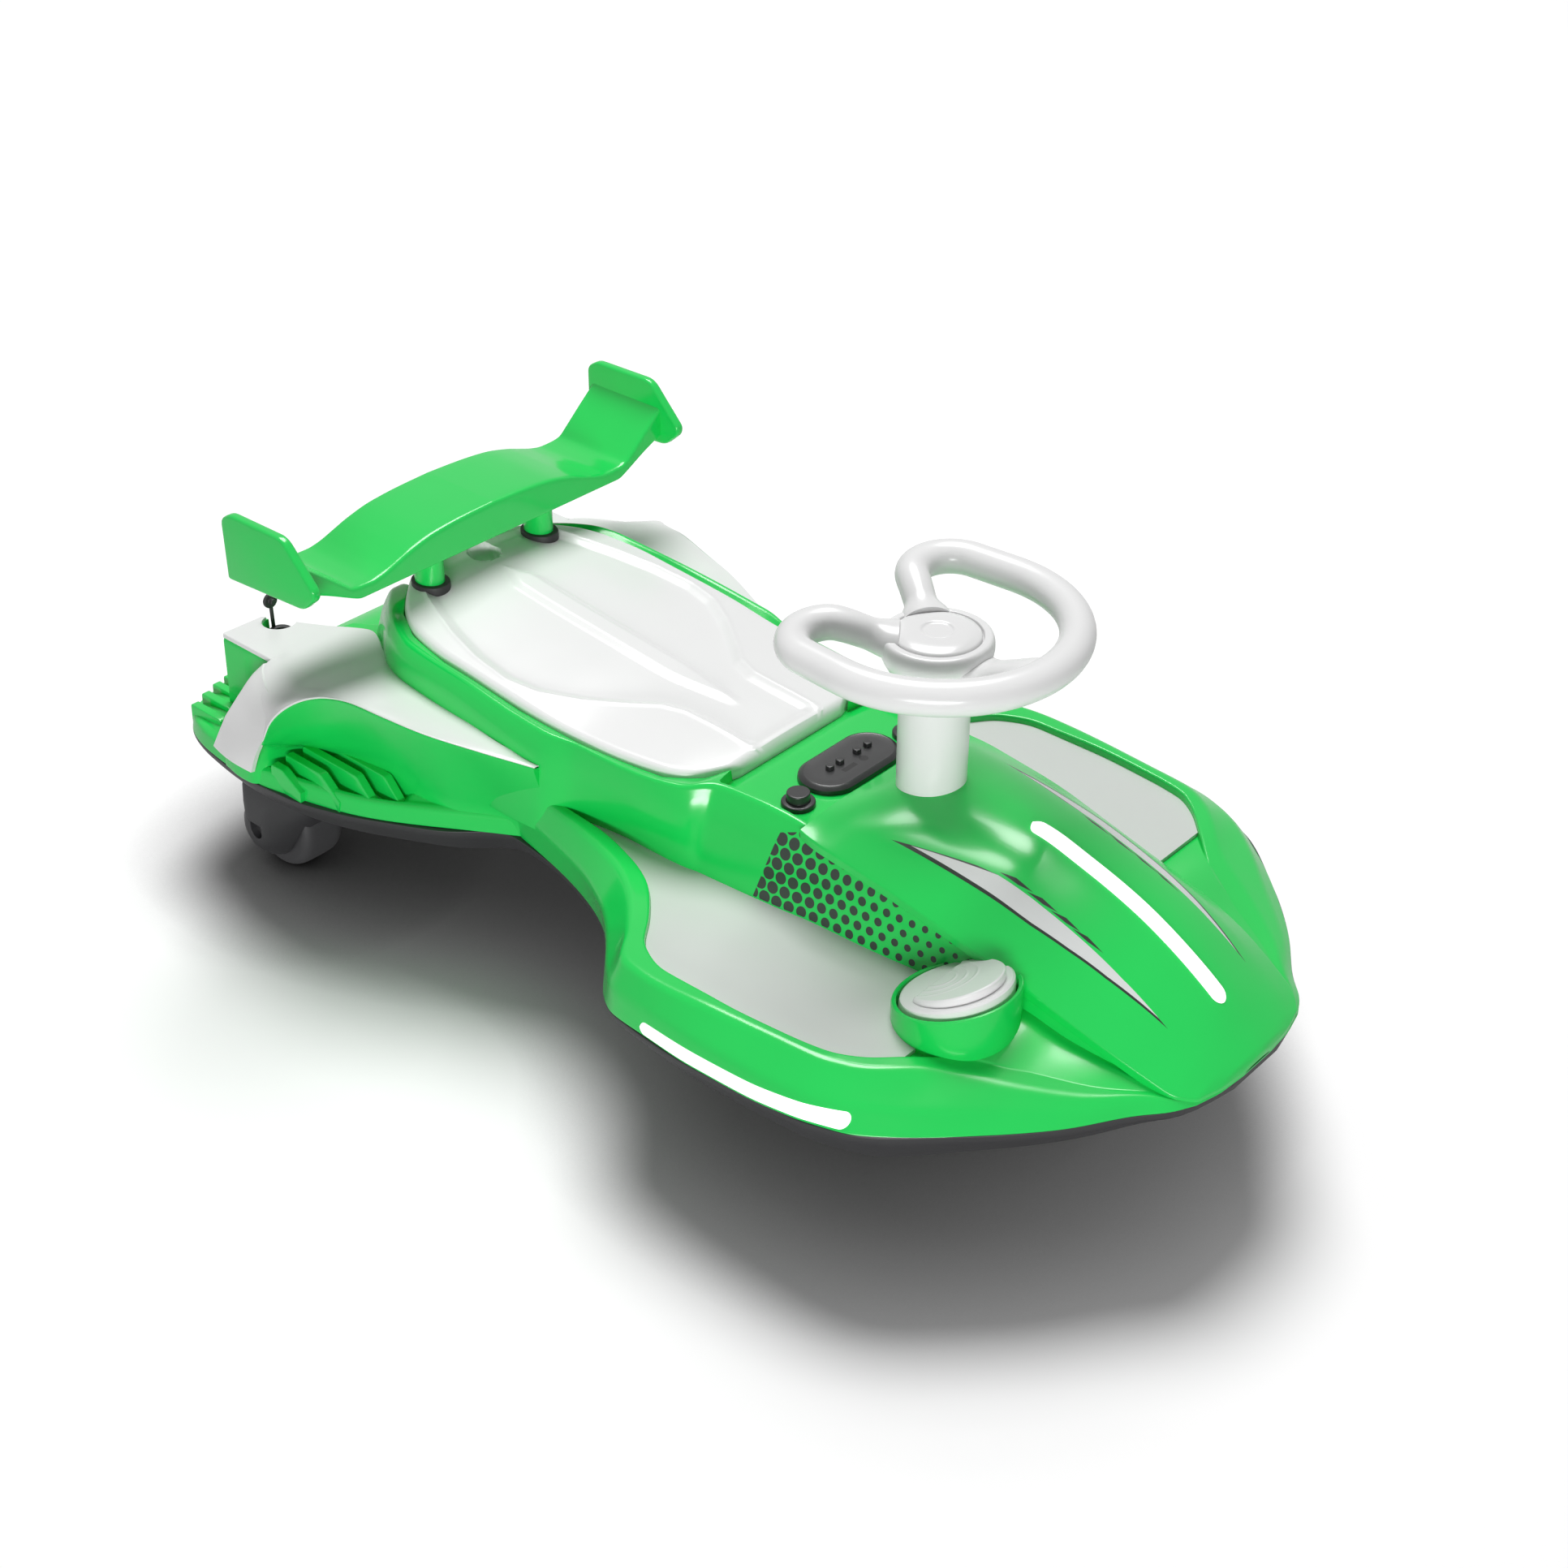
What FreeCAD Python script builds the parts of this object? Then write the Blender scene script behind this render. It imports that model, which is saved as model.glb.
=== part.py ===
import FreeCAD, Part
import os
from math import acos, atan2, cos, pi, radians, sin

V = FreeCAD.Vector
Y_AXIS = V(0, 1, 0)
Z_AXIS = V(0, 0, 1)
SIDES = (("right", -1), ("left", 1))

# A child's electric wiggle car. +X forward, +Y the rider's left, +Z up,
# origin on the floor under the middle of the body. All sizes in millimetres.

# Body
tail_x = -465.0
nose_x = 465.0
tray_t = 3.0
tray_front_x = 310.0
tray_under = 4.0
tray_play = 1.0
spine_floor_z = 145.0
haunch_overlap = 14.0
deck_ridge_w = 2.0
panel_skin = 3.0
pan_rim_w = 4.0
fit_gap = 0.3
keel_inset = 16.0
keel_band_w = 1.0
keel_band_h = 6.0
hood_wall_w = 2.0
hood_wall_h = 8.0
hood_depth = 10.0
flange_edge_w = 3.0
flange_edge_h = 14.0
rim_lip_w = 1.0
pan_rim_slope = 2.0
deck_front_x = -357.0
band_front_x = -328.0
rib_w = 8.0
rib_root_z = 126.0
rib_toe = 18.0
cutter_len = 200.0

# Wheels
rear_wheel_r = 43.0
rear_wheel_w = 40.0
rear_wheel_x = -371.0
rear_wheel_y = 153.0
front_wheel_r = 32.0
front_wheel_w = 26.0
front_track = 130.0
front_trail = 24.0
wheel_core_share = 0.62
wheel_core_inset = 2.0
axle_r = 4.0
axle_gap = 0.08
axle_cover = 8.0
wheel_side_gap = 2.5
wheel_room_r = 6.0
cheek_in_t = 14.0
cheek_out_t = 17.0
cheek_r = 30.0
cheek_top_z = 100.0
cheek_flare = 34.0
cheek_lobe_r = 20.0
cheek_lobe_back = 24.0
cheek_lobe_z = 78.0
dome_t = 10.0
dome_r = 19.0
dome_hole_r = 6.5
dome_hole_depth = 5.0

# Steering, from the hand wheel down
steer_x = 185.0
rim_z = 367.0
rim_r = 94.0
rim_tube_r = 12.5
rim_arc_deg = 94.0
rim_tail = 33.0
rim_curl_r = 28.0
spoke_fall = 9.0
spoke_seat = 8.0
front_spoke_r = 10.0
hub_r = 38.0
hub_h = 37.0
hub_top_z = rim_z - 7.0
cap_r = 31.0
cap_t = 4.0
steer_gap = 1.0
column_r = 25.0
column_top_z = hub_top_z - hub_h - steer_gap
column_foot_z = 224.0
bush_h = 15.0
shaft_r = 8.0
shaft_room = 2.0
shaft_foot_z = 44.0
shaft_top_z = hub_top_z - 20.0
arm_low_z = 18.0
arm_high_z = 58.0
arm_back = 20.0
arm_front = 14.0
arm_neck_r = 18.0
arm_top_z = 92.0
axle_stub = 3.0

# Seat
seat_edge_t = 12.0
seat_edge_h = 8.0
seat_lip_w = 12.0
seat_dish_share = 0.45
seat_crown_fall = 2.0
seat_lip_rise = 1.0

# Rear wing
wing_rear_x = -343.0
wing_front_x = -262.0
wing_t = 6.0
wing_face_t = 6.0
wing_crown_z = 312.0
wing_arch_y = 100.0
wing_arch_z = 298.0
wing_valley_y = 126.0
wing_valley_z = 292.0
wing_toe_y = 148.0
wing_toe_z = 293.0
wing_tip_y = 189.0
wing_tip_z = 328.0
wing_lip_y = 140.0
wing_lip_z = 281.0
wing_tip_depth = 24.0
plate_t = 8.0
post_x = -278.0
post_y = 59.0
post_rx = 13.5
post_ry = 11.0
post_foot_z = 236.0
gasket_w = 5.0
gasket_foot_z = 235.0
gasket_top_z = 261.0

# Masses closed in the body
battery_size = (110.0, 72.0, 48.0)
battery_x = -60.0
battery_z = 104.0
motor_size = (72.0, 84.0, 40.0)
motor_z = 98.0

# Controls on the console
panel_x = 109.5
panel_w = 47.0
panel_len = 90.0
panel_z = 222.0
panel_t = 6.0
panel_button_r = 4.0
panel_button_h = 3.0
panel_button_x = panel_x - 2.0
PANEL_BUTTON_Y = (-19.0, -8.0, 11.0, 23.0)
button_x = 115.0
button_y = 62.0
button_r = 12.5
button_flange_t = 7.0
button_h = 12.0
button_knob_r = 8.5
button_foot_z = 221.0

# Light strips
strip_w = 12.0
strip_proud = 1.0
strip_fall = 0.5
strip_depth = 5.0
strip_rear_x = 279.0
strip_front_x = 435.0
side_strip_rear_x = 127.0
side_strip_front_x = 304.0
side_strip_top = 14.0
side_strip_foot = 1.0
side_strip_depth = 8.0
side_strip_proud = 1.0

# Charge port on the right deck, with its cap on a tether
charge_x = -401.0
charge_y = 121.0
charge_z = 185.0
dish_r = 14.0
socket_r = 11.0
socket_h = 9.0
socket_bore_r = 2.75
tether_off = 9.0
tether_r = 1.6
tether_h = 24.0
charge_cap_r = 6.5
charge_cap_t = 3.0
charge_plug_r = 2.6
charge_plug_len = 5.0

# Pedal in its round cup, right side
cup_x = 302.0
cup_y = 116.0
cup_r = 43.5
cup_t = 4.0
cup_foot_z = 150.0
cup_floor_z = 163.0
cup_top_z = 186.0
cup_tilt_deg = 17.0
pedal_gap = 1.0
pedal_skirt_rise = 4.5
pedal_skirt_tilt_deg = 21.0
pedal_pad_r = 31.0
pedal_pad_rise = 8.5
pedal_pad_tilt_deg = 26.0
pedal_pad_back = 15.5

# Upper shell ahead of the waist. Columns: x, wall_y and wall_z where the middle
# tunnel meets the deck, lip_y inside the raised rim, rim_z, fold_y outside it,
# crease_y and crease_z on the flank, edge_y and edge_z at the parting line
FLARE = (
    (-112, 112, 163, 116, 171, 127, 130, 150, 126, 121),
    (-74, 117, 163, 121, 172, 130, 137, 148, 133, 120),
    (-26, 111, 163, 124, 171, 138, 149, 147, 146, 120),
    (18, 112, 163, 134, 170, 150, 169, 147, 166, 121),
    (46, 112, 163, 146, 169, 167, 190, 147, 191, 122),
    (76, 111, 163, 174, 168, 197, 219, 147, 223, 123),
    (96, 109, 163, 199, 168, 223, 233, 147, 234, 125),
    (128, 107, 163, 211, 168, 227, 236, 148, 238, 127),
    (180, 103, 163, 211, 169, 223, 238, 150, 242, 129),
    (225, 99, 163, 208, 169, 218, 237, 151, 242, 131),
    (266, 94, 163, 202, 169, 213, 233, 153, 240, 135),
    (288, 92, 163, 188, 167, 203, 226, 154, 236, 137),
    (303, 91, 163, 172, 166, 190, 219, 154, 232, 138),
    (330, 89, 170, 145, 162, 162, 200, 152, 214, 138),
    (367, 86, 163, 122, 156, 140, 164, 149, 180, 139),
    (406, 82, 156, 100, 151, 112, 126, 146, 137, 139),
    (434, 72, 150, 78, 149, 84, 90, 145, 96, 140),
    (450, 62, 147, 67, 146, 71, 74, 144, 79, 141),
    (458, 50, 145, 53, 144.5, 56, 58, 143.5, 63, 141),
    (463, 30, 144, 33, 143.5, 36, 38, 143, 43, 141),
    (nose_x, 8, 143.5, 10, 143, 12, 14, 142.5, 18, 141),
)

# Middle tunnel and seat pan. Columns: x, top_z in the middle, rim_y and rim_z at
# its upper edge, foot_y and foot_z at the deck
SPINE = (
    (-342, 150, 58, 152, 72, 149),
    (-332, 196, 64, 200, 82, 190),
    (-308, 240, 76, 248, 92, 197),
    (-290, 241, 92, 250, 104, 199),
    (-268, 241, 108, 250, 118, 200),
    (-235, 236, 120, 245, 128, 200),
    (-170, 229, 122, 240, 134, 195),
    (-115, 223, 124, 234, 136, 185),
    (-82, 220, 124, 231, 134, 170),
    (-53, 217, 118, 229, 119, 150),
    (0, 216, 115, 227, 112, 150),
    (40, 215, 106, 227, 113, 150),
    (57, 215, 94, 230, 113, 150),
    (61, 221, 90, 229, 113, 150),
    (96, 222, 86, 229, 111, 150),
    (140, 222, 84, 226, 107, 150),
    (154, 222, 84, 218, 105, 150),
    (216, 222, 84, 212, 101, 150),
    (295, 196, 84, 194, 92, 150),
    (367, 176, 84, 176, 86, 150),
    (434, 152, 72, 152, 74, 143),
)

# Hood on the tunnel. Columns: x, crown_z in the middle, shoulder_y and shoulder_z
# between crown and edge, edge_y and edge_z at the long side ridges
HOOD = (
    (140, 226, 50, 229, 89, 225),
    (152, 231, 51, 234, 91, 223),
    (166, 238, 52, 238, 92, 222),
    (190, 246, 54, 239, 92, 219),
    (226, 248, 54, 238, 92, 214),
    (280, 246, 54, 233, 90, 202),
    (320, 236, 54, 223, 89, 192),
    (361, 222, 53, 209, 88, 182),
    (395, 205, 50, 193, 85, 171),
    (434, 179, 46, 168, 77, 155),
    (450, 163, 43, 158, 72, 148),
    (458, 156, 36, 152, 61, 146),
    (463, 151, 25, 149, 41, 145),
    (nose_x, 148, 10, 147, 16, 144.5),
)

# Rear haunch, one side. Columns: x, foot_y and foot_z against the seat pan,
# crest_y and crest_z at the deck's outer corner, brow_y and brow_z on the bulge
# over the wheel, arch_y and arch_z on the arch line, wall_y and wall_z at the
# wall's foot, edge_y and edge_z at the parting line
HAUNCH = (
    (-418, 125, 199, 165, 200, 166, 176, 167, 152, 168, 142, 201, 116),
    (-384, 109, 199, 165, 200, 166, 176, 167, 152, 169, 144, 209, 117),
    (-377, 105, 199, 165, 200, 166, 158, 197, 156, 211, 132, 210, 117),
    (-366, 99, 199, 165, 200, 166, 183, 185, 180, 212, 132, 212, 118),
    (deck_front_x, 95, 200, 165, 200, 174, 198, 198, 175, 214, 132, 213, 118),
    (-345, 89, 201, 168, 202, 182, 199, 205, 174, 215, 132, 214, 118),
    (band_front_x, 84, 203, 174, 204, 196, 197, 213, 165, 215, 133, 215, 119),
    (-310, 91, 205, 180, 207, 204, 198, 217, 163, 176, 146, 213, 120),
    (-295, 100, 206, 186, 210, 207, 203, 217, 188, 172, 147, 211, 120),
    (-283, 106, 207, 188, 213, 203, 210, 210, 204, 169, 147, 209, 120),
    (-274, 110, 208, 186, 215, 196, 213, 200, 211, 167, 147, 207, 120),
    (-255, 115, 209, 182, 218, 188, 218, 190, 217, 164, 147, 202, 120),
    (-234, 120, 210, 178, 219, 183, 220, 185, 220, 161, 146, 194, 120),
    (-205, 124, 210, 172, 217, 177, 217, 179, 217, 158, 145, 180, 120),
    (-168, 130, 210, 164, 213, 169, 214, 171, 213, 150, 141, 161, 120),
    (-120, 134, 208, 148, 209, 152, 209, 154, 208, 126, 137, 129, 121),
    (-80, 126, 200, 132, 204, 135, 204, 137, 203, 121, 140, 127, 121),
)

# Tail deck and flange behind the haunches. Columns: x, deck_y, deck_z, edge_y, edge_z
TAIL = (
    (tail_x, 118, 130, 122, 114),
    (-455, 150, 134, 176, 114),
    (-440, 160, 138, 194, 115),
    (-400, 166, 142, 206, 116),
    (-340, 168, 148, 212, 118),
    (-250, 150, 150, 196, 120),
    (-112, 100, 150, 124, 121),
)

# Endplate outline in the side view. Columns: x, z
PLATE_LINE = ((-349, 342), (-338, 349), (-274, 350), (-242, 316), (-243, 309), (-258, 296), (-350, 290))

# Seat. Columns: x, y and edge_z of its edge, crown_z in the middle
SEAT = (
    (54, 56, 228, 230),
    (46, 80, 228, 231),
    (20, 100, 229, 233),
    (-53, 111, 230, 237),
    (-115, 114, 236, 243),
    (-200, 113, 244, 252),
    (-245, 106, 249, 258),
    (-272, 92, 253, 262),
    (-300, 62, 256, 263),
)

# Ribs on the flange, one side, all along the car. Columns: y, rear_x, front_x, top_z
RIBS = (
    (203, -314, -279, 141),
    (191, -310, -246, 146),
    (178, -304, -218, 150),
    (165.5, -297, -199, 152),
    (187, -441, -400, 141),
    (173.5, -444, -404, 144),
    (160, -447, -416, 146),
    (147, -449, -416, 147),
    (134, -450, -416, 147),
)

# Underbody. Columns: x, edge_y and edge_z at the parting line, drop below it
KEEL = (
    (tail_x, 122, 114, 14),
    (-455, 176, 114, 20),
    (-440, 194, 115, 24),
    (-400, 206, 116, 26),
    (-340, 213, 118, 26),
    (-296, 211, 120, 26),
    (-245, 198, 120, 26),
    (-205, 180, 120, 26),
    (-168, 161, 120, 26),
    (-120, 129, 121, 26),
    (-74, 133, 120, 24),
    (-26, 146, 120, 24),
    (18, 166, 121, 24),
    (46, 191, 122, 24),
    (76, 223, 123, 24),
    (96, 234, 125, 25),
    (180, 242, 129, 28),
    (266, 240, 135, 30),
    (303, 232, 138, 30),
    (367, 180, 139, 24),
    (406, 137, 139, 20),
    (434, 96, 140, 16),
    (450, 79, 141, 12),
    (458, 63, 141, 10),
    (462, 48, 141, 8),
    (464, 30, 141, 6),
)


def half_section(x, half):
    """Closed wire across the car at x, mirrored from (y, z) points on one half."""
    right = [V(x, -y, z) for y, z in half]
    left = [V(x, y, z) for y, z in reversed(half) if y > 0]
    return Part.makePolygon(right + left + [right[0]])


def side_section(x, outline, side):
    """Closed wire at x through (y, z) points of one side only."""
    points = [V(x, side * y, z) for y, z in outline]
    return Part.makePolygon(points + [points[0]])


def ruled(wires):
    """Solid with straight sides between neighbouring sections."""
    return Part.makeLoft(wires, True, True)


def rod(radius, start, end):
    """Round bar between two points."""
    run = end - start
    return Part.makeCylinder(radius, run.Length, start, run)


def disc(radius, height, x, y, z):
    """Upright cylinder on its foot."""
    return Part.makeCylinder(radius, height, V(x, y, z))


def box(low, high):
    """Box between its lowest and highest corners."""
    size = V(*high) - V(*low)
    return Part.makeBox(size.x, size.y, size.z, V(*low))


def plate(points, direction):
    """Prism on a closed polygon, carried along a direction."""
    return Part.Face(Part.makePolygon(points + [points[0]])).extrude(direction)


def fuse(first, *others):
    """Union of solids with coplanar faces merged."""
    return first.fuse(list(others)).removeSplitter()


def cut(shape, *tools):
    """The shape less each tool, keeping its largest solid."""
    for tool in tools:
        shape = shape.cut(tool)
    return max(shape.Solids, key=lambda solid: solid.Volume)


def oval(rx, ry, x, y, z, height):
    """Upright bar of oval section, longer along the car."""
    curve = Part.Ellipse(V(x, y, z), rx, ry).toShape()
    return Part.Face(Part.Wire(curve)).extrude(V(0, 0, height))


def stadium(half_x, half_y, x, z, height):
    """Flat block with round ends, lying across the car."""
    straight = half_y - half_x
    middle = box((x - half_x, -straight, z), (x + half_x, straight, z + height))
    return fuse(middle, disc(half_x, height, x, -straight, z), disc(half_x, height, x, straight, z))


def flare_body():
    """Deck, rim and flank ahead of the waist, straight between stations."""
    wires = []
    for x, wall_y, wall_z, lip_y, rim_z_here, fold_y, crease_y, crease_z, edge_y, edge_z in FLARE:
        deck_z = wall_z - tray_t if x < tray_front_x else wall_z
        lip_z = deck_z if x < tray_front_x else rim_z_here
        wires.append(half_section(x, (
            (0, deck_z), (wall_y, deck_z), (lip_y, lip_z), (lip_y + rim_lip_w, rim_z_here),
            (fold_y, rim_z_here), (crease_y, crease_z), (edge_y, edge_z), (0, edge_z))))
    return ruled(wires)


def spine_body():
    """Seat pan, console and tunnel under the hood."""
    wires = []
    for x, top_z, rim_y, pan_rim_z, foot_y, foot_z in SPINE:
        wires.append(half_section(x, (
            (0, top_z), (rim_y - pan_rim_w - pan_rim_slope, top_z), (rim_y - pan_rim_w, pan_rim_z),
            (rim_y, pan_rim_z), (foot_y, foot_z), (foot_y, spine_floor_z), (0, spine_floor_z))))
    return ruled(wires)


def haunch_body(side):
    """Side pod over a rear wheel: deck, bulge, arch and the wall down to the flange."""
    wires = []
    for row in HAUNCH:
        x, foot_y, foot_z, crest_y, crest_z, brow_y, brow_z, arch_y, arch_z = row[:9]
        wall_y, wall_z, edge_y, edge_z = row[9:]
        inner_y = foot_y - (haunch_overlap if x > deck_front_x else deck_ridge_w)
        wires.append(side_section(x, (
            (inner_y, foot_z), (foot_y, foot_z), (crest_y, crest_z), (brow_y, brow_z),
            (arch_y, arch_z), (wall_y, wall_z), (wall_y, edge_z), (inner_y, edge_z)), side))
    return ruled(wires)


def tail_body():
    """Tail deck with its flange, and the core that joins both haunches."""
    wires = []
    for x, deck_y, deck_z, edge_y, edge_z in TAIL:
        wires.append(half_section(x, (
            (0, deck_z), (deck_y, deck_z), (edge_y - flange_edge_w, edge_z + flange_edge_h),
            (edge_y, edge_z), (0, edge_z))))
    return ruled(wires)


def ribs(side):
    """Straight ribs on the flange below the arch and on the tail, sloped down at the front."""
    fins = []
    for y, rear_x, front_x, top_z in RIBS:
        low_y = side * y - rib_w / 2
        fins.append(plate([V(rear_x, low_y, rib_root_z), V(front_x, low_y, rib_root_z),
                           V(front_x - rib_toe, low_y, top_z), V(rear_x, low_y, top_z)], V(0, rib_w, 0)))
    return fins


def battery_blank(gap):
    """Battery block, grown by a gap on every side."""
    length, width, height = battery_size
    return box((battery_x - length / 2 - gap, -width / 2 - gap, battery_z - gap),
               (battery_x + length / 2 + gap, width / 2 + gap, battery_z + height + gap))


def motor_blank(gap):
    """Motor and gearbox block over the rear axle, grown by a gap."""
    length, width, height = motor_size
    return box((rear_wheel_x - length / 2 - gap, -width / 2 - gap, motor_z - gap),
               (rear_wheel_x + length / 2 + gap, width / 2 + gap, motor_z + height + gap))


def upper_shell(block_rooms):
    """One moulding: flared deck, seat pan, tunnel, haunches and tail."""
    pods = [haunch_body(side) for _, side in SIDES]
    fins = [rib for _, side in SIDES for rib in ribs(side)]
    shell = fuse(flare_body(), spine_body(), tail_body(), *pods, *fins)
    bore = disc(shaft_r + shaft_room, cutter_len, steer_x, 0, shaft_foot_z)
    dish = disc(dish_r, cutter_len, charge_x, -charge_y, charge_z)
    return cut(shell, bore, dish, *block_rooms)


def lower_shell():
    """Dark underbody from the parting line down, open for shaft and rear wheels."""
    wires = []
    for x, edge_y, edge_z, drop in KEEL:
        wires.append(half_section(x, (
            (0, edge_z), (edge_y, edge_z), (edge_y - keel_band_w, edge_z - keel_band_h),
            (edge_y - keel_inset, edge_z - drop), (0, edge_z - drop))))
    bearing = disc(shaft_r + axle_gap, cutter_len, steer_x, 0, shaft_foot_z)
    return cut(ruled(wires), bearing, *[wheel_room(side) for _, side in SIDES])


def wheel_room(side):
    """Space a rear wheel turns in."""
    half = rear_wheel_w / 2 + wheel_side_gap
    return rod(rear_wheel_r + wheel_room_r, V(rear_wheel_x, side * (rear_wheel_y - half), rear_wheel_r),
               V(rear_wheel_x, side * (rear_wheel_y + half), rear_wheel_r))


def rear_housing(side, lower):
    """Fork of two cheeks over a rear wheel, with a domed cover and a round hole outside."""
    low_y = side * (rear_wheel_y - rear_wheel_w / 2 - wheel_side_gap - cheek_in_t)
    high_y = side * (rear_wheel_y + rear_wheel_w / 2 + wheel_side_gap + cheek_out_t)
    run = V(0, high_y - low_y - side * dome_t, 0)
    hub = V(rear_wheel_x, low_y, rear_wheel_r)
    outwards = V(0, side, 0)
    boss = rod(cheek_r, hub, hub + run)
    dome = Part.makeCone(cheek_r, dome_r, dome_t, hub + run, outwards)
    hole_foot = hub + run + outwards * (dome_t - dome_hole_depth)
    hole = rod(dome_hole_r, hole_foot, hole_foot + outwards * cutter_len)
    web = plate([hub + V(-cheek_r, 0, 0), hub + V(cheek_r, 0, 0),
                 V(rear_wheel_x + cheek_r + cheek_flare, low_y, cheek_top_z),
                 V(rear_wheel_x - cheek_r, low_y, cheek_top_z)], run)
    lobe_at = V(rear_wheel_x - cheek_lobe_back, low_y, cheek_lobe_z)
    lobe = rod(cheek_lobe_r, lobe_at, lobe_at + run)
    return fuse(boss, dome, web, lobe).cut(hole).cut(wheel_room(side)).cut(rear_axle(side)).cut(lower)


def rear_axle(side):
    """Steel pin through both cheeks, blind in the outer one."""
    low = rear_wheel_y - rear_wheel_w / 2 - wheel_side_gap - cheek_in_t
    high = rear_wheel_y + rear_wheel_w / 2 + wheel_side_gap + cheek_out_t - axle_cover
    return rod(axle_r, V(rear_wheel_x, side * low, rear_wheel_r), V(rear_wheel_x, side * high, rear_wheel_r))


def wheel(x, y, radius, width):
    """Tyre and core of one wheel on its axle, as two solids."""
    core_r = radius * wheel_core_share
    start, end = V(x, y - width / 2, radius), V(x, y + width / 2, radius)
    inset = V(0, wheel_core_inset, 0)
    tyre = rod(radius, start, end).cut(rod(core_r, start, end))
    core = rod(core_r, start + inset, end - inset).cut(rod(axle_r + axle_gap, start, end))
    return tyre, core


def hood_blank():
    """Arched hood from the console to the nose."""
    wires = []
    for x, crown_z, shoulder_y, shoulder_z, edge_y, edge_z in HOOD:
        wires.append(half_section(x, (
            (0, crown_z), (shoulder_y, shoulder_z), (edge_y, edge_z),
            (edge_y - hood_wall_w, edge_z - hood_wall_h), (0, edge_z - hood_depth))))
    return ruled(wires)


def hood_strip(gap):
    """Light strip sunk in the hood's crown, grown by a gap."""
    wires = []
    for x, crown_z, *_ in HOOD:
        if strip_rear_x <= x <= strip_front_x:
            foot_z = crown_z - strip_depth - gap
            wires.append(half_section(x, (
                (0, crown_z + strip_proud), (strip_w / 2 + gap, crown_z + strip_proud - strip_fall),
                (strip_w / 2 + gap, foot_z), (0, foot_z))))
    return ruled(wires)


def side_strip(side):
    """Light strip on the lower flank band."""
    wires = []
    for x, *_, edge_y, edge_z in FLARE:
        if side_strip_rear_x <= x <= side_strip_front_x:
            top_z, foot_z = edge_z + side_strip_top, edge_z + side_strip_foot
            wires.append(side_section(x, (
                (edge_y - side_strip_depth, top_z), (edge_y + side_strip_proud / 2, top_z),
                (edge_y + side_strip_proud * 1.5, foot_z), (edge_y - side_strip_depth, foot_z)), side))
    return ruled(wires)


def tray(side):
    """Footwell floor plate between the tunnel and the raised rim."""
    wires = []
    for x, wall_y, wall_z, lip_y, *_ in FLARE:
        if x < tray_front_x:
            wires.append(side_section(x, (
                (wall_y - tray_under, wall_z - tray_t), (lip_y - tray_play, wall_z - tray_t),
                (lip_y - tray_play, wall_z), (wall_y - tray_under, wall_z)), side))
    return ruled(wires)


def deck_panel(side):
    """White skin on a haunch: its flat top, its bulge, and a band down to the flange."""
    top, bulge, band = [], [], []
    for row in HAUNCH:
        x, foot, crest, brow, arch, wall = row[0], row[1:3], row[3:5], row[5:7], row[7:9], row[9:11]
        top.append(side_section(x, (foot, crest, raised(crest, 0), raised(foot, 0)), side))
        if x >= deck_front_x:
            bulge.append(side_section(x, (crest, brow, arch, raised(arch, 2), raised(brow, 1),
                                          raised(crest, 0)), side))
        if HAUNCH[1][0] < x <= band_front_x:
            band.append(side_section(x, (arch, wall, (wall[0] + panel_skin, wall[1]), raised(arch, 2)), side))
    return fuse(ruled(top), ruled(bulge), ruled(band))


def raised(point, lean):
    """A section point lifted off the haunch, leaning outwards by 0 to 2 steps."""
    y, z = point
    return (y + panel_skin * lean / 2, z + panel_skin * (1 - lean / 3))


def seat_blank():
    """Dished seat with a raised middle and a turned-down edge."""
    wires = []
    for x, y, edge_z, crown_z in SEAT:
        foot_z = edge_z - seat_edge_t
        wires.append(half_section(x, (
            (0, crown_z), (y * seat_dish_share, crown_z - seat_crown_fall),
            (y - seat_lip_w, edge_z + seat_lip_rise),
            (y, edge_z - seat_edge_h / 2), (y, foot_z), (0, foot_z - seat_edge_h / 2))))
    return ruled(wires)


def wing_crest(x, drop):
    """Edges of the blade's upper line at x, lowered by drop: tip, valley, arch, valley, tip."""
    def at(y, z):
        return V(x, y, z - drop)
    edges = []
    for side in (-1, 1):
        tip, toe = at(side * wing_tip_y, wing_tip_z), at(side * wing_toe_y, wing_toe_z)
        shoulder = at(side * wing_arch_y, wing_arch_z)
        edges.append(Part.LineSegment(tip, toe).toShape())
        edges.append(Part.Arc(toe, at(side * wing_valley_y, wing_valley_z), shoulder).toShape())
    edges.append(Part.Arc(at(-wing_arch_y, wing_arch_z), at(0, wing_crown_z),
                          at(wing_arch_y, wing_arch_z)).toShape())
    return edges


def wing_blade():
    """Arched blade with upswept tips and a deeper front face."""
    def tips(x, top_drop, low_drop):
        return [Part.LineSegment(V(x, side * wing_tip_y, wing_tip_z - top_drop),
                                 V(x, side * wing_tip_y, wing_tip_z - low_drop)).toShape()
                for side in (-1, 1)]

    def face_of(edges):
        return Part.Face(Part.Wire(Part.__sortEdges__(edges)))
    top = wing_crest(wing_rear_x, 0) + wing_crest(wing_rear_x, wing_t) + tips(wing_rear_x, 0, wing_t)
    blade = face_of(top).extrude(V(wing_front_x - wing_rear_x, 0, 0))
    x = wing_front_x - wing_face_t
    low = [V(x, -wing_tip_y, wing_tip_z - wing_tip_depth), V(x, -wing_lip_y, wing_lip_z),
           V(x, wing_lip_y, wing_lip_z), V(x, wing_tip_y, wing_tip_z - wing_tip_depth)]
    lip = [Part.LineSegment(a, b).toShape() for a, b in zip(low[:-1], low[1:])]
    face = face_of(wing_crest(x, 0) + lip + tips(x, 0, wing_tip_depth)).extrude(V(wing_face_t, 0, 0))
    return fuse(blade, face)


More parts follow.
